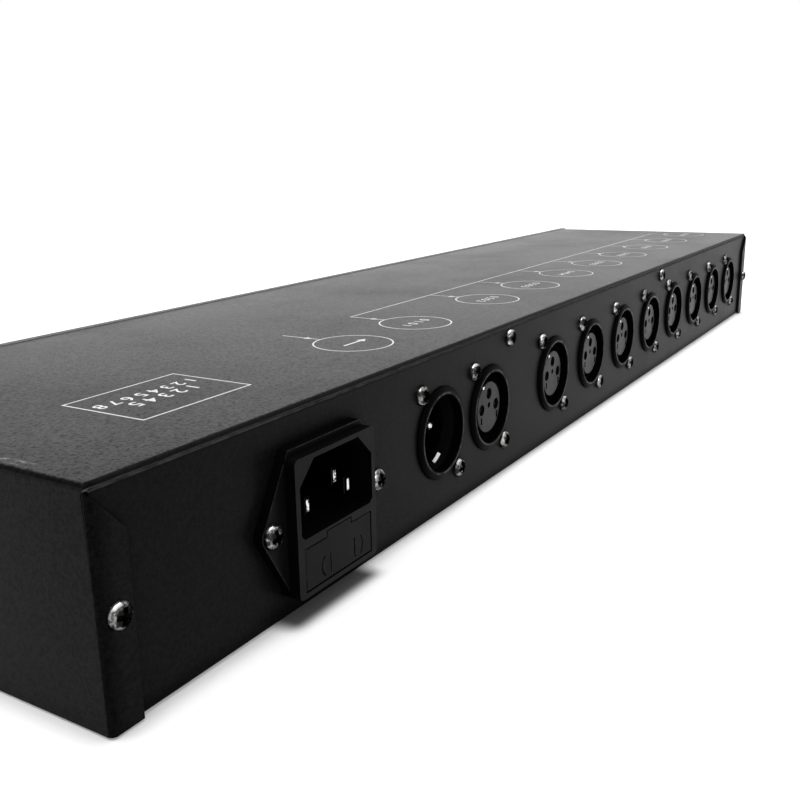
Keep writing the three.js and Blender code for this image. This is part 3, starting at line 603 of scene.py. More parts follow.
print_white = print_material()
board_green = board_material()
fuse_glass = glass_material()
lamp_green = lamp_material("lamp_green", (0.05, 0.5, 0.09))
lamp_red = lamp_material("lamp_red", (0.6, 0.03, 0.02))
wire_black = plastic("wire_black", 0.02, 0.55, 0.35)


# Camera, as fitted to the photograph

forward = Vector((-0.81687, -0.51735, -0.25508)).normalized()
right = Vector((-0.53022, 0.8476, -0.02112))
right = (right - forward * right.dot(forward)).normalized()
up = right.cross(forward)
camera = in_scene("camera", bpy.data.cameras.new("camera"))
camera_place = Vector((320.641, 163.675, 91.681)) * MM
camera_turn = Matrix((right, up, -forward)).transposed().to_4x4()
camera.matrix_world = Matrix.Translation(camera_place) @ camera_turn
camera.data.sensor_width = 36
camera.data.lens = 42.25
camera.data.shift_x = 0.02
camera.data.clip_start = 0.01
bpy.context.scene.camera = camera


# Cover: top sheet, end plates and the laps folded over the rear

def channel(half, web, ends, steps=8):
    inner, level = BEND_INSIDE, web - BEND
    outline = [(-half, ends)] + arc(-half + BEND, level, BEND, 180, 90, steps)
    outline += arc(half - BEND, level, BEND, 90, 0, steps) + [(half, ends), (half - SHEET, ends)]
    outline += arc(half - BEND, level, inner, 0, 90, steps // 2)
    outline += arc(-half + BEND, level, inner, 90, 180, steps // 2) + [(-half + SHEET, ends)]
    kept = []
    for point in outline:
        if not kept or math.dist(point, kept[-1]) > 1e-4:
            kept.append(point)
    return kept


def end_plate():
    """One end plate with the lap that folds from it over the rear."""
    plate = [(END, FRONT)] + arc(END - BEND, LAP_BEND, BEND, 0, 90, 8)
    plate += [(END - LAP_WIDTH, LAP_FACE), (END - LAP_WIDTH, LAP_FACE - SHEET)]
    plate += arc(END - BEND, LAP_BEND, BEND_INSIDE, 90, 0, 4) + [(END - SHEET, FRONT)]
    folded = prism(plate, "z", COVER_LIFT, LAP_TOP)
    reach = LAP_WIDTH + 1
    slope = [(END + 1, LAP_TOP + 0.001), (END + 1, LAP_TOP + 1), (END - reach, LAP_TOP + 1)]
    slope += [(END - reach, LAP_TOP - LAP_SLOPE * reach), (END, LAP_TOP + 0.001)]
    return cut(folded, prism(slope, "y", LAP_BEND, LAP_FACE + 1))


roof = prism(channel(END, TOP, LAP_TOP), "y", FRONT, REAR)
brim = arc(REAR - BRIM, TOP - BRIM, BRIM, 90, 0, 6)
brim += [(REAR + 1, TOP - BRIM), (REAR + 1, TOP + 1), (REAR - BRIM, TOP + 1)]
roof = cut(roof, prism(brim, "x", -END - 1, END + 1))
# A strip under the roof's rear edge, which carries the painted highlight of the upper rear edge
strip = box((2 - END, END - 2), (REAR - 0.9, REAR - 0.02), (TOP - 1.17, TOP - 0.9))
lip = box((8 - END, END - 8), (LIP_REAR - SHEET, LIP_REAR), (LIP_BOTTOM, TOP - SHEET / 2))
one_end = end_plate()
other_end = mirrored(one_end)
cover = join(roof, one_end, other_end, lip, strip)
holes = [rod(x, COVER_SCREW_Z, SCREW_HOLE, LIP_REAR - 2, LIP_REAR + 1) for x in COVER_SCREWS]
end_screws = [side * (END - END_SCREW_INSET) for side in (1, -1)]
holes += [rod(x, END_SCREW_Z, SCREW_HOLE, REAR, LAP_FACE + 1) for x in end_screws]
cover_mesh = mesh_of("cover", cut(cover, *holes), [cover_coat, side_shade_coat, rear_shade_coat, bend_shade_coat, rim_highlight_coat])
# Materials by number: 0 the top, 1 the ends and the rest, 2 the rear, 3 the bends, 4 the upper rear edge.
# 1 to 3 are darker copies of the top's coat, as painted shade, and 4 carries a painted highlight
for polygon in cover_mesh.polygons:
    normal = polygon.normal
    folded = abs(normal.x) > 0.12 and normal.y > 0.12 and abs(normal.z) < 0.1
    turning = abs(normal.x) > 0.12 and 0.6 < normal.z < 0.94
    polygon.material_index = 3 if folded or turning else 0 if normal.z > 0.6 else 2 if normal.y > 0.25 else 1
    centre = polygon.center / MM
    behind = abs(centre.y - REAR) < 0.9 and centre.z > TOP - 1.3 and abs(normal.x) < 0.1
    if behind and 0.1 < normal.z < 0.98:
        polygon.material_index = 2
    elif behind and normal.y > 0.9:
        polygon.material_index = 4
piece("cover", cover_mesh, replaces="top_cover", edge=0.1, edge_material=-1)

# Front panel
panel_outline = rounded((-PANEL_REACH, PANEL_REACH), (COVER_LIFT, PANEL_TOP), 1.0)
panel = prism(panel_outline, "y", PANEL_FRONT, FRONT - 0.05)
openings = [rod(x, LAMP_Z, 1.7, PANEL_FRONT - 1, FRONT + 1) for x in LAMPS]
openings.append(box(about(SWITCH_X, 13.3), (PANEL_FRONT - 1, FRONT + 1), about(SWITCH_Z, 19.3)))
panel = cut(panel, *openings)
panel_mesh = mesh_of("panel", panel, [panel_coat, cover_coat, panel_edge])
for polygon in panel_mesh.polygons:
    polygon.material_index = 1 if polygon.normal.z > 0.5 else 0
piece("panel", panel_mesh, replaces="front_panel", edge=0.3)

# Round connectors
def shell_bmesh():
    front = REAR + 1.2
    back = SHELL_BACK
    slope = [(math.cos(math.radians(a)), math.sin(math.radians(a))) for a in range(0, 91, 10)]
    outer = [(12.0, back - 1)] + [(10.45 + 1.6 * u, REAR + 0.15 + 1.05 * v) for u, v in slope]
    inner = [(10.3 + u, front - 0.3 + v) for u, v in arc(0, 0, 0.3, 90, 180, 4)]
    inner += [(BORE, REAR - 1.5), (BORE, REAR - 5), (BORE, back - SHELL_DEPTH)]
    ring = lathe(outer + inner + [(11.5, back - SHELL_DEPTH), (11.5, back - 1)], 96, 0, LEVEL)
    flange = prism(rounded(about(0, 26), about(LEVEL, 30), 2.5), "y", back - 2, back)
    spots = [(SCREW_ACROSS, LEVEL + SCREW_UP), (-SCREW_ACROSS, LEVEL - SCREW_UP)]
    through = [rod(0, LEVEL, 10.7, back - 3, back + 1, 96)]
    through += [rod(x, z, SCREW_HOLE, back - 3, back + 1) for x, z in spots]
    flange = cut(flange, *through)
    foot = box(about(0, 12), (back - 16, back - 5.2), (FOOT_BOTTOM, LEVEL - 10.8))
    return gathered([ring, flange, foot])


def tail_box(back):
    """The block behind a carrier, which reaches down to the board."""
    return box(about(0, 13), (back - 2.5, back - 0.05), (FOOT_BOTTOM, LEVEL + 3))


def socket_bmesh():
    back = SHELL_BACK - SHELL_DEPTH
    front = REAR - 0.1
    face = [(CORE, front - 0.35), (7.15, front - 0.1), (6.9, front), (0, front)]
    core = lathe([(0, back + 0.05), (CORE, back + 0.05)] + face, 64, 0, LEVEL)
    holes = [rod(x, LEVEL + z, 1.6, front - 8, front + 1, 24) for x, z in CONTACTS]
    holes.append(rod(0, LEVEL + 0.6, 0.8, front - 4, front + 1, 20))
    holes += [box(about(x, 0.9), (front - 3, front + 1), about(LEVEL - 3.2, 2.0)) for x in (-5.0, 4.6)]
    core = cut(core, *holes)
    low, high = back - 1.25, back + 4
    disc = lathe([(0, low), (CARRIER, low), (CARRIER, high), (7.3, high), (0, high)], 64, 0, LEVEL)
    return core, gathered([disc, tail_box(back)])


shell_mesh = mesh_of("shell", shell_bmesh(), [shell_black, shell_crest_highlight, bore_reflection])
# Material 1, on the lip's crest, is a painted highlight; material 2, a band inside the bore, a painted
# reflection
for polygon in shell_mesh.polygons:
    x, y, z = polygon.center / MM
    radius = math.hypot(x, z - LEVEL)
    banded = radius < 10.1 and REAR - 5 < y < REAR - 1.5
    polygon.material_index = 1 if y > REAR + 1.1 and 10.2 < radius < 10.75 else 2 if banded else 0
core, rear_half = socket_bmesh()
socket_mesh = mesh_of("socket", gathered([core, rear_half]), [carrier_grey])
tube = [(0.75, REAR - 6.5), (0.75, REAR - 1.2), (0.9, REAR - 0.9), (1.2, REAR - 0.9), (1.2, REAR - 6.5)]
contact = lathe(tube, 24)
sleeves = gathered([moved(contact.copy(), x, 0, LEVEL + z) for x, z in CONTACTS])
contact.free()
sleeve_mesh = mesh_of("sleeves", sleeves, [sleeve_shade_metal])
latch = eased(box((5.2, 6.2), (REAR - 9, REAR + 1.15), (LEVEL + 6.3, LEVEL + 7.2)), 0.2)
latch_mesh = mesh_of("latch", latch, [spring_metal])

for name, x in SOCKETS:
    spot = (x, 0, 0)
    piece(f"{name}_socket_shell", shell_mesh, replaces=f"{name}_shell", place=spot)
    piece(f"{name}_socket_core", socket_mesh, replaces=f"{name}_carrier", place=spot)
    piece(f"{name}_contacts", sleeve_mesh, place=spot)
    piece(f"{name}_latch", latch_mesh, place=spot)

pin_back, pin_tip = REAR - SHEET - SHELL_DEPTH, REAR - 4.9
pin_radius, nose = 1.2, 1.3
nose_turns = [math.radians(a) for a in range(0, 90, 15)]
tip = [(pin_radius - 1.1 * (1 - math.cos(a)), pin_tip - nose + nose * math.sin(a)) for a in nose_turns]
pin = lathe([(0, pin_back), (pin_radius, pin_back)] + tip + [(0, pin_tip)], 32)
pins = gathered([moved(pin.copy(), x, 0, LEVEL + z) for x, z in ((-4.45, 0), (4.45, 0), (0, -4.45))])
pins_mesh = mesh_of("pins", pins, [pin_shade_metal, contact_metal])
# The pins are painted dark as shade, except the tip of the pin at -X, which keeps the bright contact metal
for polygon in pins_mesh.polygons:
    polygon.material_index = 1 if polygon.center.x < -0.003 and polygon.center.y > (pin_tip - 1.6) * MM else 0
pin.free()
bed_outline = [(0, pin_back - 1.25), (CARRIER, pin_back - 1.25), (CARRIER, pin_back + 3.6)]
bed_outline += [(9.4, pin_back + 4), (0, pin_back + 4)]
bed = gathered([lathe(bed_outline, 64, 0, LEVEL), tail_box(pin_back)])
piece("input_plug_shell", shell_mesh, replaces="input_shell", place=(INPUT_X, 0, 0))
piece("input_plug_bed", mesh_of("bed", bed, [carrier_black]),
      replaces="input_carrier", place=(INPUT_X, 0, 0))
piece("input_plug_pins", pins_mesh, place=(INPUT_X, 0, 0))


def swept(profile, start, end, steps):
    """A profile of radius and Y carried part of the way round the connector's axis."""
    bm = bmesh.new()
    rows = []
    for i in range(steps + 1):
        a = math.radians(start + (end - start) * i / steps)
        rows.append([bm.verts.new((r * math.cos(a), y, LEVEL + r * math.sin(a))) for r, y in profile])
    for one, two in zip(rows, rows[1:]):
        for i in range(len(profile)):
            j = (i + 1) % len(profile)
            bm.faces.new((one[i], one[j], two[j], two[i]))
    bm.faces.new(rows[0])
    bm.faces.new(rows[-1])
    bmesh.ops.recalc_face_normals(bm, faces=bm.faces)
    return bm


strap = swept([(9.97, REAR - 4.1), (9.45, REAR - 4.1), (9.95, REAR - 3.4)], 232, 253, 8)
strap_mesh = mesh_of("earth_strap", strap, [spring_metal])
piece("input_earth_strap", strap_mesh, place=(INPUT_X, 0, 0))


# Screws: a pan head with a cross recess
DOME = [(2.48, 0.0), (2.5, 0.25), (2.44, 0.55), (2.27, 0.86), (1.98, 1.13)]
DOME += [(1.55, 1.36), (1.05, 1.5), (0.5, 1.58), (0, 1.6)]


def screw_bmesh():
    body = lathe([(0, -4.5), (1.2, -4.5), (1.35, -4.2), (1.35, 0)] + DOME, 48)
    arm = prism([(0.35, -0.75), (2.0, -2.3), (2.0, 2.3), (0.35, 0.75)], "x", -0.5, 0.5)
    other = arm.copy()
    bmesh.ops.rotate(other, verts=other.verts, matrix=Matrix.Rotation(math.pi / 2, 3, "Y"))
    return cut(body, join(arm, other))


def dome_height(radius):
    for (outer, low), (inner, high) in zip(DOME, DOME[1:]):
        if inner <= radius <= outer:
            return low + (high - low) * (outer - radius) / (outer - inner)
    return 0.0


screw_mesh = mesh_of("screw", screw_bmesh(), [screw_metal, screw_recess_shade], smooth=40)
# The cross recess takes the dark material, as painted shade
for polygon in screw_mesh.polygons:
    centre = polygon.center / MM
    surface = dome_height(math.hypot(centre.x, centre.z))
    polygon.material_index = 1 if 0.3 < centre.y < surface - 0.12 else 0
turns = random.Random(7)


def add_screw(name, x, z, seat):
    turn = Matrix.Rotation(turns.uniform(0, math.pi / 2), 4, "Y")
    matrix = Matrix.Translation(Vector((x, seat + 0.05, z)) * MM) @ turn
    piece(f"{name}_head", screw_mesh, replaces=name, matrix=matrix)


for name, x in [("input", INPUT_X)] + SOCKETS:
    add_screw(f"{name}_screw_upper", x + SCREW_ACROSS, LEVEL + SCREW_UP, REAR)
    add_screw(f"{name}_screw_lower", x - SCREW_ACROSS, LEVEL - SCREW_UP, REAR)
for i, x in enumerate(COVER_SCREWS):
    add_screw(f"cover_screw_{i + 1}", x, COVER_SCREW_Z, REAR)
for i, x in enumerate(end_screws):
    add_screw(f"end_screw_{i + 1}", x, END_SCREW_Z, LAP_FACE)
for i, way in enumerate((1, -1)):
    add_screw(f"inlet_screw_{i + 1}", INLET_X + way * INLET_EAR, INLET_Z, INLET_PLATE)


# Mains inlet
def inlet_bmesh():
    half, side, ear, radius = 15.6, 12.7, INLET_EAR, 2.8
    slant = math.degrees(math.atan2(half, side - ear))
    touch = slant - math.degrees(math.acos(radius / math.hypot(side - ear, half)))
    outline = arc(ear, 0, radius, -touch, touch, 16) + [(side, half), (-side, half)]
    outline += arc(-ear, 0, radius, 180 - touch, 180 + touch, 16) + [(-side, -half), (side, -half)]
    plate = eased(moved(prism(outline, "y", REAR + 0.05, INLET_PLATE), INLET_X, 0, INLET_Z), 0.15)
    sides = rounded(about(INLET_X, INLET_WIDTH), (DRAWER_BOTTOM - 1.1, INLET_Z + 14.25), 1.2)
    inside = box(about(INLET_X, 26.6), (REAR - 24, REAR + 1), about(INLET_Z, 28.1))
    housing = eased(join(prism(sides, "y", REAR + 0.05, INLET_FRONT), inside), 0.25, 3, 50)
    side, chamfer, corner = 12.75, 4.9, 1.0
    hollow = [(INLET_X - side, CAVITY_BOTTOM + corner), (INLET_X - side + corner, CAVITY_BOTTOM),
              (INLET_X + side - corner, CAVITY_BOTTOM), (INLET_X + side, CAVITY_BOTTOM + corner),
              (INLET_X + side, CAVITY_TOP - chamfer), (INLET_X + side - chamfer, CAVITY_TOP),
              (INLET_X - side + chamfer, CAVITY_TOP), (INLET_X - side, CAVITY_TOP - chamfer)]
    cavity_depth, slot_depth, notch_depth = 17, 27.25, 3.25
    cavity = prism(hollow, "y", INLET_FRONT - cavity_depth, INLET_FRONT + 1)
    slot = box(about(INLET_X, 24.1), (INLET_FRONT - slot_depth, INLET_FRONT + 1), (DRAWER_BOTTOM, DRAWER_TOP))
    notch_z = (DRAWER_TOP - 1, DRAWER_TOP + 1.3)
    notch = box(about(INLET_X, 9), (INLET_FRONT - notch_depth, INLET_FRONT + 1), notch_z)
    ears = [rod(INLET_X + e, INLET_Z, SCREW_HOLE, REAR - 1, INLET_PLATE + 1) for e in (-ear, ear)]
    whole = join(housing, plate)
    return cut(whole, cavity, join(slot, notch), *ears)


inlet_mesh = mesh_of("inlet", inlet_bmesh(), [inlet_black, cavity_shade, inlet_side_shade, inlet_plate, inlet_edge_highlight])
# Materials: the cavity and slot painted dark as shade, rounded outer edges with a painted highlight, the flat
# front as moulded, the plate's front with painted shade in recesses, the sides darker as painted shade
for polygon in inlet_mesh.polygons:
    x, y, z = polygon.center / MM
    deep = y < INLET_FRONT - 0.3 and abs(x - INLET_X) < 12.9 and DRAWER_BOTTOM - 0.2 < z < CAVITY_TOP + 0.2
    normal = polygon.normal
    outer = y > INLET_FRONT - 0.5 or INLET_PLATE - 0.3 < y < INLET_PLATE
    rounding = outer and 0.15 < normal.y < 0.97 and max(normal.x, normal.z) > 0.2
    flat = y > INLET_PLATE + 0.1 and normal.y > 0.9
    polygon.material_index = 1 if deep else 4 if rounding else 0 if flat else 3 if normal.y > 0.9 else 2
piece("inlet_housing", inlet_mesh, replaces="inlet_body")


def drawer_bmesh():
    sides, gap, length = about(INLET_X, 23.6), 0.25, 27
    face_y = (INLET_FRONT - 3, INLET_FRONT)
    face = eased(box(sides, face_y, (DRAWER_BOTTOM + gap, DRAWER_TOP - gap)), 0.25)
    tab = box(about(INLET_X, 8.5), face_y, (DRAWER_TOP - 1.5, DRAWER_TOP + 1.05))
    front = join(face, tab)
    marks = []
    groove = 0.42
    for way in (1, -1):
        line = INLET_X - 1.0 + way * 4.35
        marks.append(box(about(line, groove), (INLET_FRONT - 0.5, INLET_FRONT + 1), about(MARK_Z, 4.5)))
        bow = arc(0, 0, 2.5, -62, 62, 14)
        outer = [(line + way * (1.15 + u * 0.85), MARK_Z + v) for u, v in bow]
        inner = [(line + way * (1.15 + (u - groove) * 0.85), MARK_Z + v * 0.95) for u, v in reversed(bow)]
        marks.append(prism(outer + inner, "y", INLET_FRONT - 0.5, INLET_FRONT + 1))
    front = cut(front, *marks)
    tray = box(sides, (INLET_FRONT - length, INLET_FRONT - 1.5), (DRAWER_BOTTOM + gap, DRAWER_TOP - 1.4))
    low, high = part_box("fuse")
    level = (low.z + high.z) / 2 / MM
    back, ahead = low.y / MM - gap, high.y / MM + gap
    bed = rod(INLET_X, level, 2.85, back, ahead)
    mouth = box(about(INLET_X, 5.7), (back, ahead), (level, DRAWER_BOTTOM + 9))
    tray = cut(tray, join(bed, mouth))
    return join(front, tray)


drawer_mesh = mesh_of("drawer", drawer_bmesh(), [drawer_black, inlet_edge_highlight])
piece("drawer", drawer_mesh, body="fuse_drawer", replaces="fuse_drawer", edge=0.1)


# Switch on the front
bezel_front = PANEL_FRONT - 2
bezel_outline = rounded(about(SWITCH_X, 15), about(SWITCH_Z, 21), 1.0)
bezel = eased(prism(bezel_outline, "y", bezel_front, PANEL_FRONT - 0.05), 0.5, 3, 50)
housing = box(about(SWITCH_X, 12.8), (bezel_front + 1, PANEL_FRONT + 17), about(SWITCH_Z, 18.8))
pocket = box(about(SWITCH_X, 10.8), (bezel_front - 1, PANEL_FRONT + 12), about(SWITCH_Z, 16.8))
switch = cut(join(bezel, housing), pocket)
lug_reach = (PANEL_FRONT + 14.5, PANEL_FRONT + 23)
lugs = [box(about(SWITCH_X, 4.8), lug_reach, about(SWITCH_Z + z, 0.8)) for z in (-3.5, 3.5)]
piece("switch_frame", mesh_of("switch_frame", switch, [inlet_black, inlet_edge_highlight]),
      replaces="switch_body", edge=0.12)
piece("switch_lugs", mesh_of("switch_lugs", gathered(lugs), [contact_metal]), edge=0.1)

# Front lamps
lens_radius, lens_edge = 1.62, PANEL_FRONT - 0.5
lens_turns = [math.radians(a) for a in range(15, 90, 15)]
for i, x in enumerate(LAMPS):
    dome = [(lens_radius, FRONT), (lens_radius, lens_edge)]
    dome += [(lens_radius * math.cos(a), lens_edge - 1.1 * math.sin(a)) for a in lens_turns]
    lens = lathe([(0, FRONT)] + dome + [(0, PANEL_FRONT - 1.6)], 32, x, LAMP_Z)
    piece(f"lamp_{i}", mesh_of(f"lamp_{i}", lens, [lamp_red if i == 0 else lamp_green]))


# White print
def ribbon(points, width, height, closed=False):
    """A flat line of one width along points, as a bmesh at one height."""
    count = len(points)
    sides = []
    for i, point in enumerate(points):
        p = Vector(point)
        before = Vector(points[i - 1]) if i or closed else None
        after = Vector(points[(i + 1) % count]) if i < count - 1 or closed else None
        first = (p - before).normalized() if before is not None else (after - p).normalized()
        second = (after - p).normalized() if after is not None else first
        along = (first + second).normalized()
        across = Vector((-along.y, along.x)) * (width / 2 / max(0.3, along.dot(first)))
        sides.append((p + across, p - across))
    bm = bmesh.new()
    rails = [[bm.verts.new((*pair[k], height)) for pair in sides] for k in (0, 1)]
    for i in range(count if closed else count - 1):
        j = (i + 1) % count
        bm.faces.new((rails[0][i], rails[1][i], rails[1][j], rails[0][j]))
    return bm


def patch(points, height):
    bm = bmesh.new()
    bm.faces.new([bm.verts.new((x, y, height)) for x, y in points])
    return bm


def digits(text, size, x, y, height):
    """Plain numbers, centred on a point."""
    curve = bpy.data.curves.new("digits", "FONT")
    curve.body = text
    curve.size = size
    curve.align_x = "CENTER"
    curve.align_y = "CENTER"
    curve.offset = 0.012 * size
    thing = in_scene("digits", curve)
    bpy.context.view_layer.update()
    mesh = applied(thing)
    bpy.data.curves.remove(curve)
    return moved(from_mesh(mesh), x, y, height)


def arrowhead(x, y, way, size, height):
    """A filled head that points along Y."""
    half, reach = size * 0.42, way * size / 2
    return patch([(x - half, y - reach), (x + half, y - reach), (x, y + reach)], height)


SKIN = TOP + 0.02
HEAD_SKIN = SKIN + 0.005
LINE = 0.42
CIRCLE_R = 10.4
MAIN_Y = 6.1
circles = [122.5, 89.6] + [41.0 - 36.4 * i for i in range(8)]


def circle_y(x):
    """The row of circles is not quite parallel with the rear edge."""
    return 27.3 + 0.0147 * x


print_parts = [ribbon(corners((170.3, 201.4), (11.9, 34.6)), LINE, SKIN, True)]
print_parts.append(digits("1 2 3 4 5", 5.2, 185.6, 24.4, SKIN))
print_parts.append(digits("1 2 3 4 5 6 7 8", 4.7, 185.9, 19.6, SKIN))
for i, x in enumerate(circles):
    middle = circle_y(x)
    ring = [(x + u, middle + v) for u, v in circle(0, 0, CIRCLE_R, 72)]
    print_parts.append(ribbon(ring, LINE, SKIN, True))
    print_parts.append(ribbon([(x, MAIN_Y), (x, middle - CIRCLE_R)], LINE, SKIN))
    print_parts.append(arrowhead(x, 15.0, 1, 2.6, HEAD_SKIN))
    if i == 0:
        print_parts.append(ribbon([(x - 4.2, middle), (x + 4.2, middle)], 0.7, SKIN))
        head = [(x - 6, middle), (x - 3.2, middle + 1.4), (x - 3.2, middle - 1.4)]
        print_parts.append(patch(head, HEAD_SKIN))
    else:
        print_parts.append(digits(f"0 {i} 0 {i}", 4.3, x, middle, SKIN))
print_parts.append(ribbon([(circles[1], MAIN_Y), (circles[-1] - 0.2, MAIN_Y)], LINE, SKIN))
piece("top_print", mesh_of("top_print", gathered(print_parts), [print_white]))

# Front print: a number over each lamp, a line along the row and a frame round the switch
def on_front(bm):
    """Print drawn in X, Y at height 0, stood up on the panel's face."""
    bmesh.ops.rotate(bm, verts=bm.verts, matrix=Matrix.Rotation(math.pi / 2, 3, "X"))
    return moved(bm, 0, PANEL_FRONT - 0.02, 0)


front_parts = []
row_z = LAMP_Z - 5.4
for i, x in enumerate(LAMPS):
    front_parts.append(digits(str(i), 5.0, x, LAMP_Z + 7.6, 0))
    front_parts.append(ribbon([(x, LAMP_Z + 2.6), (x, LAMP_Z + 4.6)], LINE, 0))
    front_parts.append(ribbon([(x, LAMP_Z - 2.6), (x, row_z)], LINE, 0))
front_parts.append(ribbon([(LAMPS[0], row_z), (LAMPS[-1], row_z)], LINE, 0))
front_parts.append(ribbon(corners(about(SWITCH_X, 21), about(SWITCH_Z, 27)), LINE, 0, True))
piece("front_print", mesh_of("front_print", on_front(gathered(front_parts)), [print_white]))

# Marks on the two halves of the rocker: a ring above the pivot and a bar below it
PIVOT_Y, PIVOT_Z = -56.4, 22.0
CREST = 1.3
SLOPE = math.radians(12)


def on_rocker(bm, z):
    """A mark drawn round X = 0, Y = 0, laid on the sloping half of the rocker at a height from its pivot."""
    lean = SLOPE if z > 0 else -SLOPE
    bmesh.ops.rotate(bm, verts=bm.verts, matrix=Matrix.Rotation(math.pi / 2 + lean, 3, "X"))
    moved(bm, 0, -CREST - 0.03 - abs(z) * math.tan(SLOPE), z)
    bmesh.ops.rotate(bm, verts=bm.verts, matrix=Matrix.Rotation(SLOPE, 3, "X"))
    return moved(bm, SWITCH_X, PIVOT_Y, PIVOT_Z)


bar_mark = on_rocker(ribbon([(-1.7, 0), (1.7, 0)], 0.6, 0), -4.4)
ring_mark = on_rocker(ribbon(circle(0, 0, 1.5, 32), 0.6, 0, True), 4.4)
piece("rocker_marks", mesh_of("rocker_marks", gathered([bar_mark, ring_mark]), [print_white]), body="rocker")


# CAD nodes that stay, with their own materials and, where a width is given, rounded edges
staying = [("base_tray", tray_coat, 0), ("main_board", board_green, 0), ("power_supply", board_green, 0)]
staying += [("mains_harness", wire_black, 0), ("switch_rocker", rocker_red, 0.3), ("fuse", fuse_glass, 0)]
staying += [(f"inlet_pin_{name}", None, 0.3) for name in ("live", "neutral", "earth")]
for name, material, edge in staying:
    node = nodes[name]
    node.data.materials.clear()
    if material is None:
        low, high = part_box(name)
        material = blade_metal_far if (low.x + high.x) / 2 < (INLET_X - 3) * MM else blade_metal
    node.data.materials.append(material)
    if edge:
        node.modifiers.new("weld", "WELD").merge_threshold = 0.00001
        bevelled(node, edge * MM, 3, EDGE_ANGLE)


# Stage, light and backdrop

def stage_material():
    material = bpy.data.materials.new("stage_floor")
    material.use_nodes = True
    tree = material.node_tree
    tree.nodes.clear()
    output = tree.nodes.new("ShaderNodeOutputMaterial")
    diffuse = tree.nodes.new("ShaderNodeBsdfDiffuse")
    diffuse.inputs["Color"].default_value = (0.66, 0.66, 0.66, 1)
    glow = tree.nodes.new("ShaderNodeEmission")
    glow.inputs["Color"].default_value = (1, 1, 1, 1)
    path = tree.nodes.new("ShaderNodeLightPath")
    either = tree.nodes.new("ShaderNodeMath")
    either.operation = "MAXIMUM"
    amount = tree.nodes.new("ShaderNodeMath")
    amount.operation = "MULTIPLY"
    away = tree.nodes.new("ShaderNodeVectorMath")
    away.operation = "LENGTH"
    fade = tree.nodes.new("ShaderNodeMapRange")
    for socket, value in (("From Min", 0.45), ("From Max", 1.4), ("To Min", 0.52), ("To Max", 0.8)):
        fade.inputs[socket].default_value = value
    tree.links.new(tree.nodes.new("ShaderNodeTexCoord").outputs["Object"], away.inputs[0])
    tree.links.new(away.outputs["Value"], fade.inputs["Value"])
    tree.links.new(fade.outputs[0], amount.inputs[1])
    split = tree.nodes.new("ShaderNodeSeparateXYZ")
    tree.links.new(tree.nodes.new("ShaderNodeTexCoord").outputs["Object"], split.inputs[0])

    def ranged(value, low, high, to_low, to_high):
        node = tree.nodes.new("ShaderNodeMapRange")
        node.interpolation_type = "SMOOTHSTEP"
        for socket, number in zip(("From Min", "From Max", "To Min", "To Max"), (low, high, to_low, to_high)):
            node.inputs[socket].default_value = number
        tree.links.new(value, node.inputs["Value"])
        return node.outputs[0]

    def worked(operation, a, b):
        node = tree.nodes.new("ShaderNodeMath")
        node.operation = operation
        for socket, value in zip(node.inputs, (a, b)):
            if isinstance(value, float):
                socket.default_value = value
            else:
                tree.links.new(value, socket)
        return node.outputs[0]

    # Painted light, brighter towards the far end, and a painted shade under the inlet
    lifted = ranged(split.outputs["X"], 0.06, 0.16, 1.22, 1.0)
    beside = worked("ABSOLUTE", worked("SUBTRACT", split.outputs["X"], INLET_X * MM), 0.0)
    across = ranged(beside, 0.0125, 0.019, 1.0, 0.0)
    under = worked("MULTIPLY", across, ranged(split.outputs["Y"], 0.0555, 0.0605, 1.0, 0.0))
    under = worked("MULTIPLY", under, ranged(split.outputs["Y"], 0.0, 0.03, 0.0, 1.0))
    kept = worked("SUBTRACT", 1.0, worked("MULTIPLY", under, 0.93))
    shaded_floor_colour = tree.nodes.new("ShaderNodeMix")
    shaded_floor_colour.data_type = "RGBA"
    shaded_floor_colour.inputs[6].default_value = (0.04, 0.04, 0.04, 1)
    shaded_floor_colour.inputs[7].default_value = (0.66, 0.66, 0.66, 1)
    tree.links.new(kept, shaded_floor_colour.inputs[0])
    tree.links.new(shaded_floor_colour.outputs[2], diffuse.inputs["Color"])
    # Painted shade at the object's foot, from ambient occlusion
    near = tree.nodes.new("ShaderNodeAmbientOcclusion")
    near.samples = 12
    tree.links.new(ranged(split.outputs["X"], 0.06, 0.2, 0.0032, 0.006), near.inputs["Distance"])
    foot = tree.nodes.new("ShaderNodeMapRange")
    for socket, value in (("From Min", 0.5), ("From Max", 0.9), ("To Min", 0.35), ("To Max", 1.0)):
        foot.inputs[socket].default_value = value
    tree.links.new(near.outputs["AO"], foot.inputs["Value"])
    dimmed = tree.nodes.new("ShaderNodeMath")
    dimmed.operation = "MULTIPLY"
    tree.links.new(worked("MULTIPLY", amount.outputs[0], lifted), dimmed.inputs[0])
    tree.links.new(worked("MULTIPLY", foot.outputs[0], kept), dimmed.inputs[1])
    both = tree.nodes.new("ShaderNodeAddShader")
    tree.links.new(path.outputs["Is Camera Ray"], either.inputs[0])
    tree.links.new(path.outputs["Is Glossy Ray"], either.inputs[1])
    tree.links.new(either.outputs[0], amount.inputs[0])
    tree.links.new(dimmed.outputs[0], glow.inputs["Strength"])
    tree.links.new(diffuse.outputs[0], both.inputs[0])
    tree.links.new(glow.outputs[0], both.inputs[1])
    tree.links.new(both.outputs[0], output.inputs["Surface"])
    return material


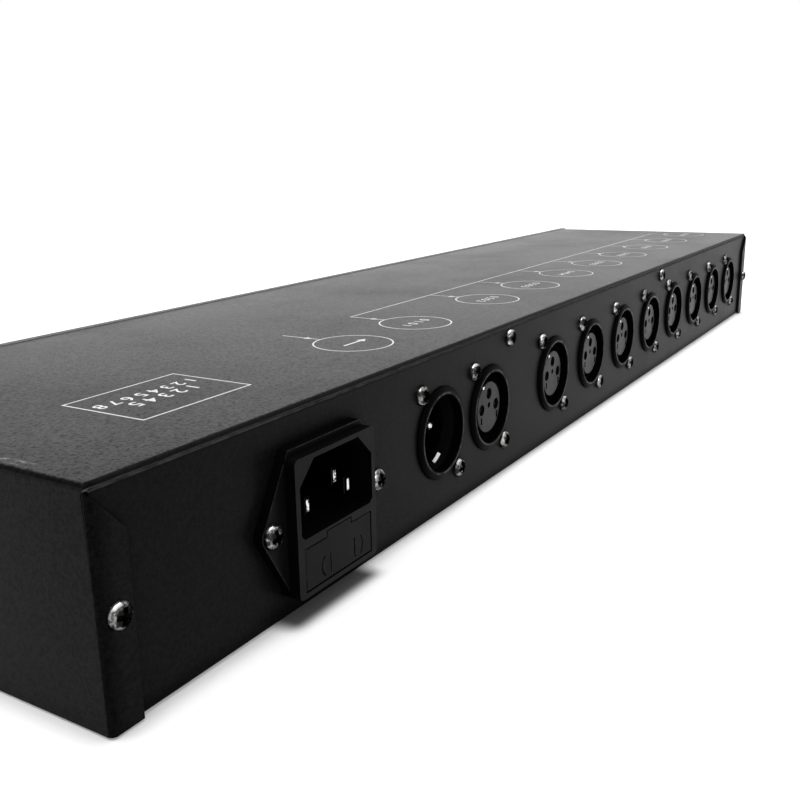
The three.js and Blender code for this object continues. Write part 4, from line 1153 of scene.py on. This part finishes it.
floor_mesh = bpy.data.meshes.new("stage_floor")
floor_reach, floor_z = (-8, 8), -0.0001
floor_corners = [(x, y, floor_z) for x, y in corners(floor_reach, floor_reach)]
floor_mesh.from_pydata(floor_corners, [], [(0, 1, 2, 3)])
floor_mesh.materials.append(stage_material())
floor = in_scene("stage_floor", floor_mesh)
floor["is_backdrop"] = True

world = bpy.data.worlds.new("studio")
bpy.context.scene.world = world
world.use_nodes = True
tree = world.node_tree
tree.nodes.clear()
background = tree.nodes.new("ShaderNodeBackground")
background.inputs["Color"].default_value = (1, 1, 1, 1)
path = tree.nodes.new("ShaderNodeLightPath")
seen = tree.nodes.new("ShaderNodeMath")
seen.operation = "MAXIMUM"
through = tree.nodes.new("ShaderNodeMath")
through.operation = "MAXIMUM"
strength = tree.nodes.new("ShaderNodeMapRange")
strength.inputs["To Min"].default_value = 0.45
strength.inputs["To Max"].default_value = 1.0
tree.links.new(path.outputs["Is Camera Ray"], seen.inputs[0])
tree.links.new(path.outputs["Is Glossy Ray"], seen.inputs[1])
tree.links.new(seen.outputs[0], through.inputs[0])
tree.links.new(path.outputs["Is Transmission Ray"], through.inputs[1])
tree.links.new(through.outputs[0], strength.inputs["Value"])
tree.links.new(strength.outputs[0], background.inputs["Strength"])
tree.links.new(background.outputs[0], tree.nodes.new("ShaderNodeOutputWorld").inputs["Surface"])


def softbox(name, place, target, size, power):
    light = bpy.data.lights.new(name, "AREA")
    light.shape = "RECTANGLE"
    light.size, light.size_y = size
    light.energy = power
    lamp = in_scene(name, light)
    lamp.location = place
    lamp.rotation_euler = (Vector(target) - Vector(place)).to_track_quat("-Z", "Y").to_euler()


softbox("overhead", (0.1, -0.2, 1.5), (0.05, 0, 0), (1.6, 1.2), 22)
softbox("rear_side", (0.9, 1.3, 0.9), (0.1, 0, 0), (0.9, 0.9), 7)
softbox("far_end", (-1.7, -1.1, 0.26), (-0.1, 0, 0.1), (2.2, 0.42), 3.2)

bpy.context.scene.view_settings.view_transform = "Standard"

low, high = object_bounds()
